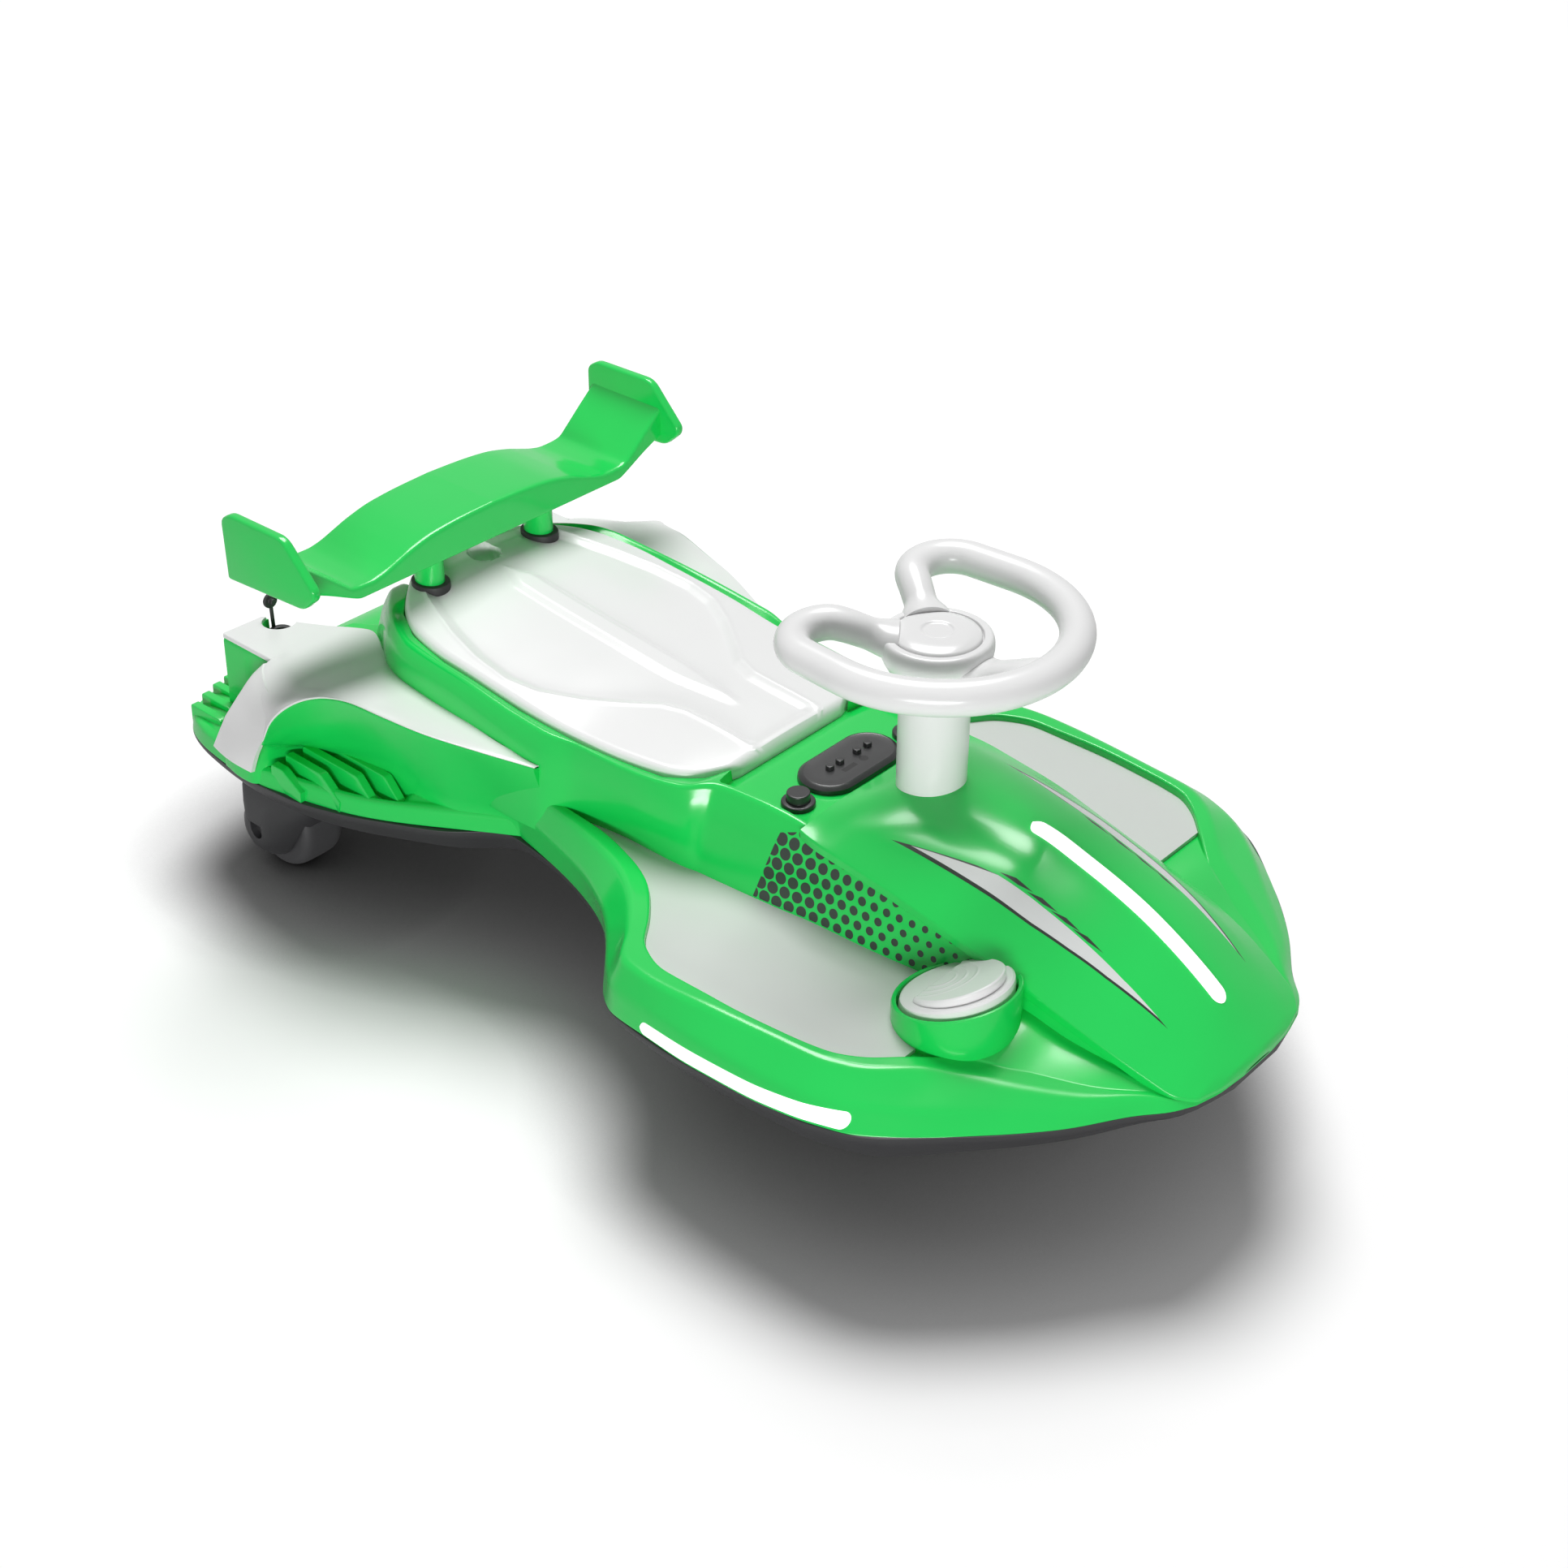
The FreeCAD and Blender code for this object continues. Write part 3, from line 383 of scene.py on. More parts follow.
def stadium(half_x, half_y, around=48):
    """Outline of two half circles of radius half_x, joined along y."""
    outline = ellipse(half_x, half_x, around)
    return outline + np.stack([0 * outline[:, 1], np.sign(outline[:, 1] + 1e-9) * (half_y - half_x)], axis=-1)


def inset(outline, distance):
    """The outline moved inwards along its own normals."""
    along = np.roll(outline, -1, axis=0) - np.roll(outline, 1, axis=0)
    length = np.maximum(np.linalg.norm(along, axis=1, keepdims=True), 1e-6)
    return outline + np.stack([-along[:, 1], along[:, 0]], axis=-1) / length * distance


def slab(outline, low, high, edge, steps=5, plane="xy"):
    """A flat block on an anticlockwise outline whose two edges are quarter circles of radius edge."""
    turn = np.linspace(0, pi / 2, steps)
    rings = [(edge * (1 - sin(a)), low + edge * (1 - cos(a))) for a in turn]
    rings += [(edge * (1 - cos(a)), high - edge * (1 - sin(a))) for a in turn]
    loops = []
    for distance, height in rings:
        flat = inset(outline, distance)
        level = np.full((len(flat), 1), height)
        order = (flat[:, :1], flat[:, 1:], level) if plane == "xy" else (flat[:, :1], level, flat[:, 1:])
        loops.append(np.concatenate(order, axis=1))
    return np.stack(loops)


def tube(path, side_r, up_r, around=32):
    """Loops round a path: centre + side a cos t + up b sin t, with side square to the path and level."""
    tangent = np.gradient(path, axis=0)
    tangent /= np.linalg.norm(tangent, axis=1, keepdims=True)
    side = np.cross(tangent, (0, 0, 1))
    side /= np.linalg.norm(side, axis=1, keepdims=True)
    up = np.cross(side, tangent)
    angle = np.linspace(0, 2 * pi, around, endpoint=False)[None, :, None]
    side_r = np.broadcast_to(side_r, len(path))[:, None, None]
    up_r = np.broadcast_to(up_r, len(path))[:, None, None]
    return path[:, None] + side[:, None] * side_r * np.cos(angle) + up[:, None] * up_r * np.sin(angle)


def round_ended(start, end, half_width, step=2.5):
    """Places along a bar with half-round ends, and its half width there: half_width * sin(angle)."""
    angle = np.linspace(0.04, pi / 2, 12)
    cap = half_width * (1 - np.cos(angle))
    middle = np.arange(start + half_width + step, end - half_width - step / 2, step)
    width = half_width * np.sin(angle)
    return (np.concatenate([start + cap, middle, (end - cap)[::-1]]),
            np.concatenate([width, np.full(len(middle), half_width), width[::-1]]))


def drum(radius, low, high, centre, axis="z", around=64):
    """A plain round block about an axis, to cut with."""
    return Surface().loft(turned([(radius, low), (radius, high)], centre, axis, around))


def soft_step(value, low, high):
    """0 below low, 1 above high and 3t^2 - 2t^3 between."""
    t = np.clip((value - low) / (high - low), 0, 1)
    return t * t * (3 - 2 * t)


class Surface:
    """Points and faces of one piece, gathered from lofted grids in millimetres."""

    def __init__(self):
        self.points, self.faces, self.count = [], [], 0

    def loft(self, loops, caps=True, wrap=True):
        """Adds quads between neighbouring loops, and a flat cap on each end."""
        rows, cols = loops.shape[:2]
        i, j = np.meshgrid(np.arange(rows - 1), np.arange(cols if wrap else cols - 1), indexing="ij")
        k = (j + 1) % cols
        quads = np.stack([i * cols + j, i * cols + k, (i + 1) * cols + k, (i + 1) * cols + j], axis=-1)
        self.faces += (quads.reshape(-1, 4) + self.count).tolist()
        if caps:
            self.faces.append(list(range(self.count, self.count + cols)))
            self.faces.append(list(range(self.count + (rows - 1) * cols, self.count + rows * cols)))
        self.points.append(loops.reshape(-1, 3))
        self.count += rows * cols
        return self

    def turn(self, profile, radii, centre, steps=5, axis="z", around=64):
        """Adds a (radius, height) profile with round corners, turned about an axis through centre."""
        return self.loft(turned(rounded_profile(profile, radii, steps), centre, axis, around), caps=False)

    def mesh(self, name):
        """A mesh with its double points joined and its faces outward."""
        mesh = bpy.data.meshes.new(name)
        mesh.from_pydata((np.concatenate(self.points) * MM).tolist(), [], self.faces)
        shell = bmesh.new()
        shell.from_mesh(mesh)
        bmesh.ops.remove_doubles(shell, verts=shell.verts, dist=2e-6)
        bmesh.ops.recalc_face_normals(shell, faces=shell.faces)
        shell.to_mesh(mesh)
        shell.free()
        return mesh

    def piece(self, name, body, nodes, slot, finish, sharp=38):
        """The finished mesh as a piece that rides on a body and stands for CAD nodes."""
        mesh = self.mesh(name)
        mesh.shade_smooth()
        mesh.set_sharp_from_angle(angle=radians(sharp))
        mesh.materials.append(finish)
        piece = bpy.data.objects.new(name, mesh)
        bpy.context.scene.collection.objects.link(piece)
        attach(piece, body)
        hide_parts(*nodes)
        return piece


def hollow(piece, cutter):
    """Cuts one lofted solid out of a piece for good."""
    tool = bpy.data.objects.new("tool", cutter.mesh("tool"))
    bpy.context.scene.collection.objects.link(tool)
    cut = piece.modifiers.new("cut", "BOOLEAN")
    cut.operation, cut.solver, cut.object = "DIFFERENCE", "EXACT", tool
    graph = bpy.context.evaluated_depsgraph_get()
    carved = bpy.data.meshes.new_from_object(piece.evaluated_get(graph))
    piece.modifiers.clear()
    piece.data = carved
    carved.set_sharp_from_angle(angle=radians(38))
    bpy.data.objects.remove(tool)


# Finishes

class Wire:
    """A number socket of a finish. Sums on it add Math nodes."""

    def __init__(self, finish, socket):
        self.finish, self.socket = finish, socket

    def maths(self, operation, *values, clamp=False):
        settings = {"operation": operation, "use_clamp": clamp}
        return self.finish.add("ShaderNodeMath", settings, dict(enumerate(values)))

    def __add__(self, other):
        return self.maths("ADD", self, other)

    def __sub__(self, other):
        return self.maths("SUBTRACT", self, other)

    def __rsub__(self, other):
        return self.maths("SUBTRACT", other, self)

    def __mul__(self, other):
        return self.maths("MULTIPLY", self, other)

    def low(self, other):
        return self.maths("MINIMUM", self, other)

    def high(self, other):
        return self.maths("MAXIMUM", self, other)

    def size(self):
        return self.maths("ABSOLUTE", self)

    def part(self):
        return self.maths("FRACT", self)

    def whole(self):
        return self.maths("FLOOR", self)

    def edge(self, softness=0.0001):
        """1 where the number is above zero, with a soft edge."""
        return self.maths("MULTIPLY_ADD", self, 1 / softness, 0.5, clamp=True)


class Finish:
    """A material under construction: a Principled shader and the nodes that feed it."""

    def __init__(self, name, **constants):
        self.material = bpy.data.materials.new(name)
        self.material.use_nodes = True
        self.tree = self.material.node_tree
        self.shader = self.tree.nodes["Principled BSDF"]
        for socket, value in constants.items():
            self.shader.inputs[socket.replace("_", " ")].default_value = value
        self.place = self.add("ShaderNodeTexCoord", {}, {}, "Object")

    def add(self, kind, settings, inputs, output=0):
        """Adds one node: its settings first, then a value or a link for each socket."""
        node = self.tree.nodes.new(kind)
        for key, value in settings.items():
            setattr(node, key, value)
        for key, value in inputs.items():
            if isinstance(value, Wire):
                self.tree.links.new(value.socket, node.inputs[key])
            else:
                node.inputs[key].default_value = value
        return Wire(self, node.outputs[output])

    def axes(self):
        """x, y and z of the place on the piece, in metres."""
        split = self.add("ShaderNodeSeparateXYZ", {}, {0: self.place})
        return [Wire(self, split.socket.node.outputs[k]) for k in range(3)]

    def noise(self, scale, detail=2.0, roughness=0.5):
        """Noise from 0 to 1 with cells of 1/scale metres."""
        return self.add("ShaderNodeTexNoise", {}, {
            "Vector": self.place, "Scale": scale, "Detail": detail, "Roughness": roughness}, "Fac")

    def blend(self, share, first, second):
        """A colour between two colours or colour sockets."""
        return self.add("ShaderNodeMix", {"data_type": "RGBA"}, {0: share, 6: first, 7: second}, 2)

    def feed(self, socket, wire):
        self.tree.links.new(wire.socket, self.shader.inputs[socket])

    def paint(self, share, colour):
        """A colour laid over what feeds the base colour so far."""
        base = Wire(self, self.shader.inputs["Base Color"].links[0].from_socket)
        self.feed("Base Color", self.blend(share, base, colour))

    def length(self, u, v):
        """Length of the vector (u, v)."""
        flat = self.add("ShaderNodeCombineXYZ", {}, {0: u, 1: v})
        return self.add("ShaderNodeVectorMath", {"operation": "LENGTH"}, {0: flat}, 1)

    def bump(self, height, distance):
        """Relief of the given depth in metres."""
        self.feed("Normal", self.add("ShaderNodeBump", {}, {
            "Strength": 1.0, "Distance": distance, "Height": height}))

    def polygon(self, u, v, corners):
        """Distance inside the nearest edge of an outline of (u, v) corners in millimetres, in metres.

        It is the least of the distances inside each edge's line.
        """
        inside = None
        middle = np.mean(corners, axis=0)
        for start, end in zip(corners, corners[1:] + corners[:1]):
            normal = np.array((end[1] - start[1], start[0] - end[0]), float)
            normal /= np.linalg.norm(normal)
            if normal @ (middle - start) < 0:
                normal = -normal
            distance = u * float(normal[0]) + v * float(normal[1]) - float(normal @ start) * MM
            inside = distance if inside is None else inside.low(distance)
        return inside


def rgba(colour):
    return (*colour, 1.0)


def plastic(name, colour, roughness, coat, grain, depth, tint):
    """Moulded plastic: slightly uneven colour and gloss over the surface, with a fine skin."""
    finish = Finish(name, Coat_Weight=coat, Coat_Roughness=0.06)
    cloud = finish.noise(9.0, 3.0)
    pale = tuple(min(1.0, c * (1 + tint) + tint * 0.1) for c in colour)
    deep = tuple(c * (1 - tint) for c in colour)
    finish.feed("Base Color", finish.blend(cloud, rgba(deep), rgba(pale)))
    finish.feed("Roughness", finish.noise(38.0, 4.0) * 0.06 + (roughness - 0.03))
    finish.bump(finish.noise(grain, 2.0), depth)
    return finish


# Skin of a gloss moulding: cells a metre, and its depth in metres
GLOSS = (900.0, 0.000004)


def plastics(car):
    """Moulded finishes: key, name, colour, roughness, coat, cells a metre, depth in metres, tint."""
    green = tuple(car.green)
    return (
        ("green", "green_gloss", green, 0.2, 0.15, *GLOSS, 0.04),
        ("hood", "green_hood", green, 0.22, 0.1, *GLOSS, 0.04),
        ("tunnel", "green_tunnel", green, 0.2, 0.15, *GLOSS, 0.04),
        ("white", "white_gloss", tuple(car.white), 0.24, 0.1, *GLOSS, 0.02),
        ("tray", "grey_tray", tuple(car.tray), 0.32, 0.0, 1400.0, 0.00002, 0.03),
        ("dark", "dark_underbody", tuple(car.underbody), 0.48, 0.0, 1600.0, 0.00003, 0.12),
        ("black", "black_gloss", (0.008, 0.008, 0.009), 0.3, 0.1, *GLOSS, 0.2),
        ("panel", "black_panel", (0.022, 0.022, 0.023), 0.3, 0.1, *GLOSS, 0.1),
        ("rubber", "black_rubber", (0.011, 0.011, 0.012), 0.55, 0.0, 2000.0, 0.00005, 0.2),
        ("tyre", "wheel_rubber", (0.05, 0.05, 0.053), 0.6, 0.0, 1500.0, 0.00008, 0.15),
        ("core", "wheel_core", (0.075, 0.075, 0.08), 0.42, 0.0, 1200.0, 0.00004, 0.1),
    )


def light_strip():
    """Lit diffuser, faintly uneven."""
    glow = Finish("light_strip", Roughness=0.3, Emission_Strength=1.0)
    cloud = glow.noise(60.0)
    glow.feed("Base Color", glow.blend(cloud, (0.9, 0.9, 0.9, 1), (0.95, 0.95, 0.95, 1)))
    glow.feed("Emission Color", glow.blend(cloud, (0.55, 0.55, 0.55, 1), (0.62, 0.62, 0.62, 1)))
    return glow.material


def zinc_steel():
    """Zinc-plated steel with a brushed gloss."""
    steel = Finish("zinc_steel", Metallic=1.0)
    brushed = steel.noise(700.0, 3.0)
    steel.feed("Base Color", steel.blend(brushed, (0.52, 0.52, 0.53, 1), (0.62, 0.62, 0.63, 1)))
    steel.feed("Roughness", brushed * 0.2 + 0.25)
    return steel.material


def finishes(car):
    """Every finish of the car, by key."""
    moulded = {key: plastic(*values) for key, *values in plastics(car)}
    paint_on_hood(moulded["hood"], car)
    dots_on_tunnel(moulded["tunnel"], car)
    panel_openings_painted_shade(moulded["panel"])
    made = {key: finish.material for key, finish in moulded.items()}
    made["light"], made["steel"] = light_strip(), zinc_steel()
    return made


# Hood stripe, its dark edge and the slashes. Corners: x, distance from the middle. The paint lies
# inside every edge of an outline, so a corner that turns inwards trims it a little
STRIPE = (
    [(214, 62), (267, 51.8), (281, 49), (310, 48), (388, 48), (395, 50.6), (377, 54), (348, 57.4),
     (319, 59.8), (289, 60.9), (240, 61.5)],
    [(380, 48), (388, 47.8), (436, 42.3), (413, 47.6), (395, 50.8), (380, 53.6)],
)
STRIPE_EDGE = (
    [(202, 64.6), (266, 50.8), (281, 49), (310, 48), (388, 48), (395, 52.2), (377, 55.6), (348, 59),
     (319, 61.5), (289, 62.6), (240, 64)],
    [(380, 48), (388, 47.8), (447, 41), (413, 49.2), (395, 52.4), (380, 55.4)],
)
SLASHES = (
    [(281, 46.8), (293, 43.6), (308, 44.4), (297, 46.6)],
    [(304, 46.6), (315, 43.6), (329, 44.6), (318, 46.5)],
    [(324, 46.6), (335, 43.8), (348, 44.8), (337, 46.5)],
    [(342, 46.6), (353, 44.0), (367, 45.0), (355, 46.5)],
)
# Openings on the control panel, painted deep black as their shade. Corners of the slot: x, y. Place and
# radius of the hole
PANEL_SLOT = [(119, -15), (119, -1), (114.5, -1), (114.5, -15)]
PANEL_HOLE = (116.5, 8.0, 3.6)
# Dot field on the tunnel's side. Corners: x, z
DOT_FIELD = [(111, 164), (123, 216), (138, 221), (305, 194), (268, 168), (248, 164)]
# In metres: radius of a dot at DOT_START, how much it shrinks a metre further on, and the distance
# from the middle past which there are dots. A row's height is a share of the pitch
DOT_R = 0.0047
DOT_START = 0.12
DOT_TAPER = 0.0165
DOT_FROM_Y = 0.08
DOT_ROW = 0.86


def paint_on_hood(finish, car):
    """A pale blade-shaped stripe with a dark edge and four dark slashes on each side."""
    x, y, _ = finish.axes()
    across = y.size()

    def joined(shapes):
        """1 inside any of the shapes: the largest of their distances inside, above zero."""
        whole = None
        for corners in shapes:
            one = finish.polygon(x, across, corners)
            whole = one if whole is None else whole.high(one)
        return whole.edge()
    finish.paint(joined(STRIPE_EDGE + SLASHES), (0.02, 0.03, 0.022, 1))
    finish.paint(joined(STRIPE), rgba(car.stripe))


def panel_openings_painted_shade(finish):
    """A slot and a round hole beside the panel's buttons, painted deep black as the shade inside them."""
    x, y, _ = finish.axes()
    slot = finish.polygon(x, y, PANEL_SLOT).edge()
    hole_x, hole_y, hole_r = PANEL_HOLE
    off = finish.length(x - hole_x * MM, y - hole_y * MM)
    # Painted shade: the slot and the hole are deep black instead of being cut into the panel
    finish.paint(slot.high((hole_r * MM - off).edge()), (0.001, 0.001, 0.001, 1))


def dots_on_tunnel(finish, car):
    """Staggered dark dots that shrink towards the nose, inside the dot field."""
    x, y, z = finish.axes()
    pitch = car.dot_pitch
    row = z * (1 / (pitch * DOT_ROW))
    along = x * (1 / pitch) + (row.whole() * 0.5)
    off_x = (along.part() - 0.5) * pitch
    off_z = (row.part() - 0.5) * (pitch * DOT_ROW)
    radius = DOT_R - ((x - off_x) - DOT_START) * DOT_TAPER
    field = finish.polygon(x, z, DOT_FIELD).low(y.size() - DOT_FROM_Y)
    dots = (radius - finish.length(off_x, off_z)).low(field).edge()
    finish.paint(dots, (0.03, 0.045, 0.035, 1))


# Settings

class WiggleCarSettings(bpy.types.PropertyGroup):
    """Sizes and colours that a user would change."""

    green: bpy.props.FloatVectorProperty(
        name="Shell green", description="Colour of the upper shell, hood and wing",
        default=(0.006, 0.62, 0.09), subtype="COLOR", min=0, max=1)
    white: bpy.props.FloatVectorProperty(
        name="White", description="Colour of the seat, hand wheel and deck panels",
        default=(0.80, 0.80, 0.80), subtype="COLOR", min=0, max=1)
    tray: bpy.props.FloatVectorProperty(
        name="Tray grey", description="Colour of the footwell trays",
        default=(0.60, 0.62, 0.60), subtype="COLOR", min=0, max=1)
    underbody: bpy.props.FloatVectorProperty(
        name="Underbody", description="Colour of the lower shell and wheel housings",
        default=(0.026, 0.026, 0.028), subtype="COLOR", min=0, max=1)
    stripe: bpy.props.FloatVectorProperty(
        name="Stripe", description="Colour of the long stripes on the hood",
        default=(0.68, 0.70, 0.69), subtype="COLOR", min=0, max=1)
    dot_pitch: bpy.props.FloatProperty(
        name="Dot pitch", description="Spacing of the dots on the tunnel's sides",
        default=0.0105, min=0.006, max=0.02, unit="LENGTH")
    rim_tube: bpy.props.FloatProperty(
        name="Hand wheel grip", description="Radius of the hand wheel's grip",
        default=0.0125, min=0.01, max=0.016, unit="LENGTH")
    rim_radius: bpy.props.FloatProperty(
        name="Hand wheel radius",
        description="Radius of the hand wheel's front arc, to the middle of the grip",
        default=0.094, min=0.08, max=0.1, unit="LENGTH")


# Pieces

FINISHES = {}


def made(context):
    """The finishes, made once and kept by key."""
    if not FINISHES:
        FINISHES.update(finishes(context.scene.wiggle_car))
    return FINISHES


def on_both_sides(x, loops, name, node, slot, finish):
    """A right and a left piece from the loops of one side, each for its own node."""
    for end, side in SIDES:
        mould = Surface().loft(at_stations(x, loops * (side, 1)))
        mould.piece(name + end, "body", [node + end], slot, finish)


class WIGGLE_OT_deck(bpy.types.Operator):
    """Flared front deck with its raised rim, creased flank and nose"""
    bl_idname = "wiggle.deck"
    bl_label = "Front deck"

    def execute(self, context):
        rows = []
        for x, wall_y, wall_z, lip_y, rim_z, *rest in FLARE:
            floor_z, lip_z = (wall_z - 3, wall_z - 3) if x < 310 else (wall_z, rim_z)
            rows.append((x, wall_y, floor_z, lip_y, lip_z, rim_z, *rest))
        x, table = smooth_table(rows, tip=NOSE_TIP)
        wall_y, floor_z, lip_y, lip_z, rim_z, fold_y, crease_y, crease_z, edge_y, edge_z = table.T
        half = columns((0, floor_z), (wall_y, floor_z), (lip_y, lip_z), (lip_y + 1.5, rim_z), (fold_y, rim_z),
                       (crease_y, crease_z), (edge_y, edge_z), (0, edge_z))
        loops = round_loop(mirrored(half), both_radii((0, 1, 1, 2, 4.5, 4.5, 1.5, 0)))
        Surface().loft(at_stations(x, loops)).piece(
            "upper_shell_deck", "body", ["upper_shell"], "green_shell", made(context)["green"])
        return {"FINISHED"}


class WIGGLE_OT_spine(bpy.types.Operator):
    """Seat pan, console and the tunnel under the hood"""
    bl_idname = "wiggle.spine"
    bl_label = "Seat pan and tunnel"

    def execute(self, context):
        x, table = smooth_table(SPINE)
        top_z, rim_y, rim_z, foot_y, foot_z = table.T
        seat = np.array(SEAT, float)
        pan = 1 - soft_step(x, 50, 62)
        seat_y = np.minimum(np.interp(x, seat[:, 0], seat[:, 1]) + 1.2, rim_y - 1.5)
        lip_y = rim_y - 5 + (seat_y - rim_y + 5) * pan
        lip_z = rim_z - 4 * pan * soft_step(-x, 285, 270)
        belly = 4.0 * pan
        half = columns((0, top_z), (lip_y - 1.5, top_z), (lip_y, lip_z), (rim_y - 0.5, rim_z),
                       (rim_y + (foot_y - rim_y) * 0.35 + belly, rim_z + (foot_z - rim_z) * 0.22 - belly / 2),
                       (foot_y, foot_z), (foot_y, 145), (0, 145))
        radii = both_radii((0, 1, 1, 4, 10, 7, 1, 0))
        loops = round_loop(mirrored(half), radii, spans=(0.1, 0.3, 0.5, 0.7, 0.9))
        Surface().loft(at_stations(x, loops)).piece(
            "upper_shell_spine", "body", ["upper_shell"], "green_shell", made(context)["tunnel"])
        return {"FINISHED"}


class WIGGLE_OT_haunches(bpy.types.Operator):
    """Rear haunches, tail deck and the ribs on the flange"""
    bl_idname = "wiggle.haunches"
    bl_label = "Haunches and tail"

    def execute(self, context):
        finish = made(context)["green"]
        x, table = smooth_table(HAUNCH)
        foot_y, foot_z, crest_y, crest_z, brow_y, brow_z, arch_y, arch_z = table.T[:8]
        wall_y, wall_z, _, edge_z = table.T[8:]
        inner_y = foot_y - np.where(x > -357, 14, 2)
        under = 2.5 * soft_step(x, -392, -380) * (1 - soft_step(x, -318, -304))
        half = columns((inner_y, foot_z + 0.5), (foot_y, foot_z), (crest_y, crest_z),
                       (brow_y - under, brow_z - under), (arch_y - under, arch_z),
                       (wall_y - 0.4 * under, wall_z), (wall_y, edge_z), (inner_y, edge_z))
        loops = round_loop(half, (1, 2, 5, 8, 1.2, 8, 1, 0))
        dish = drum(PORT_R, PORT_Z, PORT_Z + 55, PORT)
        for name, side in SIDES:
            piece = Surface().loft(at_stations(x, loops * (side, 1))).piece(
                "upper_shell_haunch_" + name, "body", ["upper_shell"], "green_shell", finish)
            if side < 0:
                hollow(piece, dish)
        x, table = smooth_table(TAIL, 2.5, 5.0)
        deck_y, deck_z, edge_y, edge_z = table.T
        toe_y = np.interp(x, (-279, -246, -218, -199), (207, 195, 182, 168))
        toe_y = np.clip(toe_y, deck_y + 6, edge_y - 8)
        depth = 9 * soft_step(x, -334, -326) * (1 - soft_step(x, -212, -198))
        share = (toe_y - deck_y) / (edge_y - 3 - deck_y)
        toe_z = deck_z + share * (edge_z + 14 - deck_z)
        half = columns((0, deck_z), (deck_y, deck_z - depth), (toe_y - 3, toe_z - depth), (toe_y, toe_z),
                       (edge_y - 3, edge_z + 14), (edge_y, edge_z), (0, edge_z))
        loops = round_loop(mirrored(half), both_radii((0, 2, 2, 1.5, 3, 1, 0)))
        tail = Surface().loft(at_stations(x, loops))
        for y, rear_x, front_x, top_z in RIBS:
            toe = 22 if rear_x > -400 else 5
            length = front_x - rear_x
            along = np.array((0, 0.4, 1.5, length - toe, length - toe + 3, length)) + rear_x
            height = np.array((top_z - 1.5, top_z - 0.4, top_z, top_z, top_z - 1.2, 128))
            height = height - (0 if toe > 5 else 3)
            root = 120 + 0 * height
            ring = columns((y - 4.4, root), (y - 3.6, height), (y + 3.6, height), (y + 4.4, root))
            ring = round_loop(ring, (0, 0.9, 0.9, 0), 4, spans=(0.1, 0.5, 0.9))
            for _, side in SIDES:
                tail.loft(at_stations(along, ring * (side, 1)))
        tail.piece("upper_shell_tail", "body", ["upper_shell"], "green_shell", finish)
        return {"FINISHED"}


class WIGGLE_OT_deck_panels(bpy.types.Operator):
    """White skins on the haunches: top, bulge and the band down to the flange"""
    bl_idname = "wiggle.deck_panels"
    bl_label = "Deck panels"

    def execute(self, context):
        x, table = smooth_table(HAUNCH)
        foot_y, foot_z, crest_y, crest_z, brow_y, brow_z, arch_y, arch_z = table.T[:8]
        skin = 3.0 - 2.2 * soft_step(x, -330, -180)
        port = drum(PORT_R + 0.3, PORT_Z, PORT_Z + 55, PORT)

        def sheet(rows, *corners, radii):
            """A closed sheet from corners (y, z, lift_y, lift_z) of its foot, raised by the lifts."""
            low = [(y[rows], z[rows] - 1) for y, z, _, _ in corners]
            high = [(y[rows] + dy * skin[rows], z[rows] + dz * skin[rows])
                    for y, z, dy, dz in reversed(corners)]
            return at_stations(x[rows], round_loop(columns(*low, *high), radii))
        rear, front = x <= -355, x >= -357
        top = sheet(rear, (foot_y, foot_z, 0, 1), (crest_y, crest_z, 0, 1), radii=(0, 0, 2, 1))
        under = 1 - soft_step(x, -318, -300)
        body = sheet(front, (foot_y, foot_z, 0, 1), (crest_y, crest_z, 0, 1),
                     (brow_y, brow_z - under, 0.5, 0.67),
                     (arch_y - 1.5 - 3.5 * under, arch_z + 1 - 2 * under, 0.6, 0.5),
                     radii=(0, 5, 8, 0, 0.6, 8, 6, 1))
        share = np.linspace(0, 1, 40)
        z, sides = smooth_table(BAND_SIDES, 1.4, 5.0)
        z, rear_y, front_y = z[:, None], sides[:, :1], sides[:, 1:]
        rear_x = np.interp(z, *np.array(BAND_REAR, float).T[::-1])
        front_x = np.interp(z, *np.array(BAND_FRONT, float).T[::-1])
        band_x = rear_x + (front_x - rear_x) * share
        band_y = rear_y + (front_y - rear_y) * share ** 0.8 + 2.2 * np.sin(pi * share)
        outer = np.stack([band_x, band_y + 0.6, z + 0 * band_x + 0.8], axis=-1)
        inner = np.stack([band_x, band_y - 3, z + 0 * band_x], axis=-1)
        band = np.concatenate([outer, inner[:, ::-1]], axis=1)
        white = made(context)["white"]
        for name, side in SIDES:
            turn = (1, side, 1)
            Surface().loft(body * turn).loft(band * turn).piece(
                "deck_panel_skin_" + name, "body", ["deck_panel_" + name], "white_plastic", white)
            piece = Surface().loft(top * turn).piece(
                "deck_panel_top_" + name, "body", ["deck_panel_" + name], "white_plastic", white)
            if side < 0:
                hollow(piece, port)
        return {"FINISHED"}


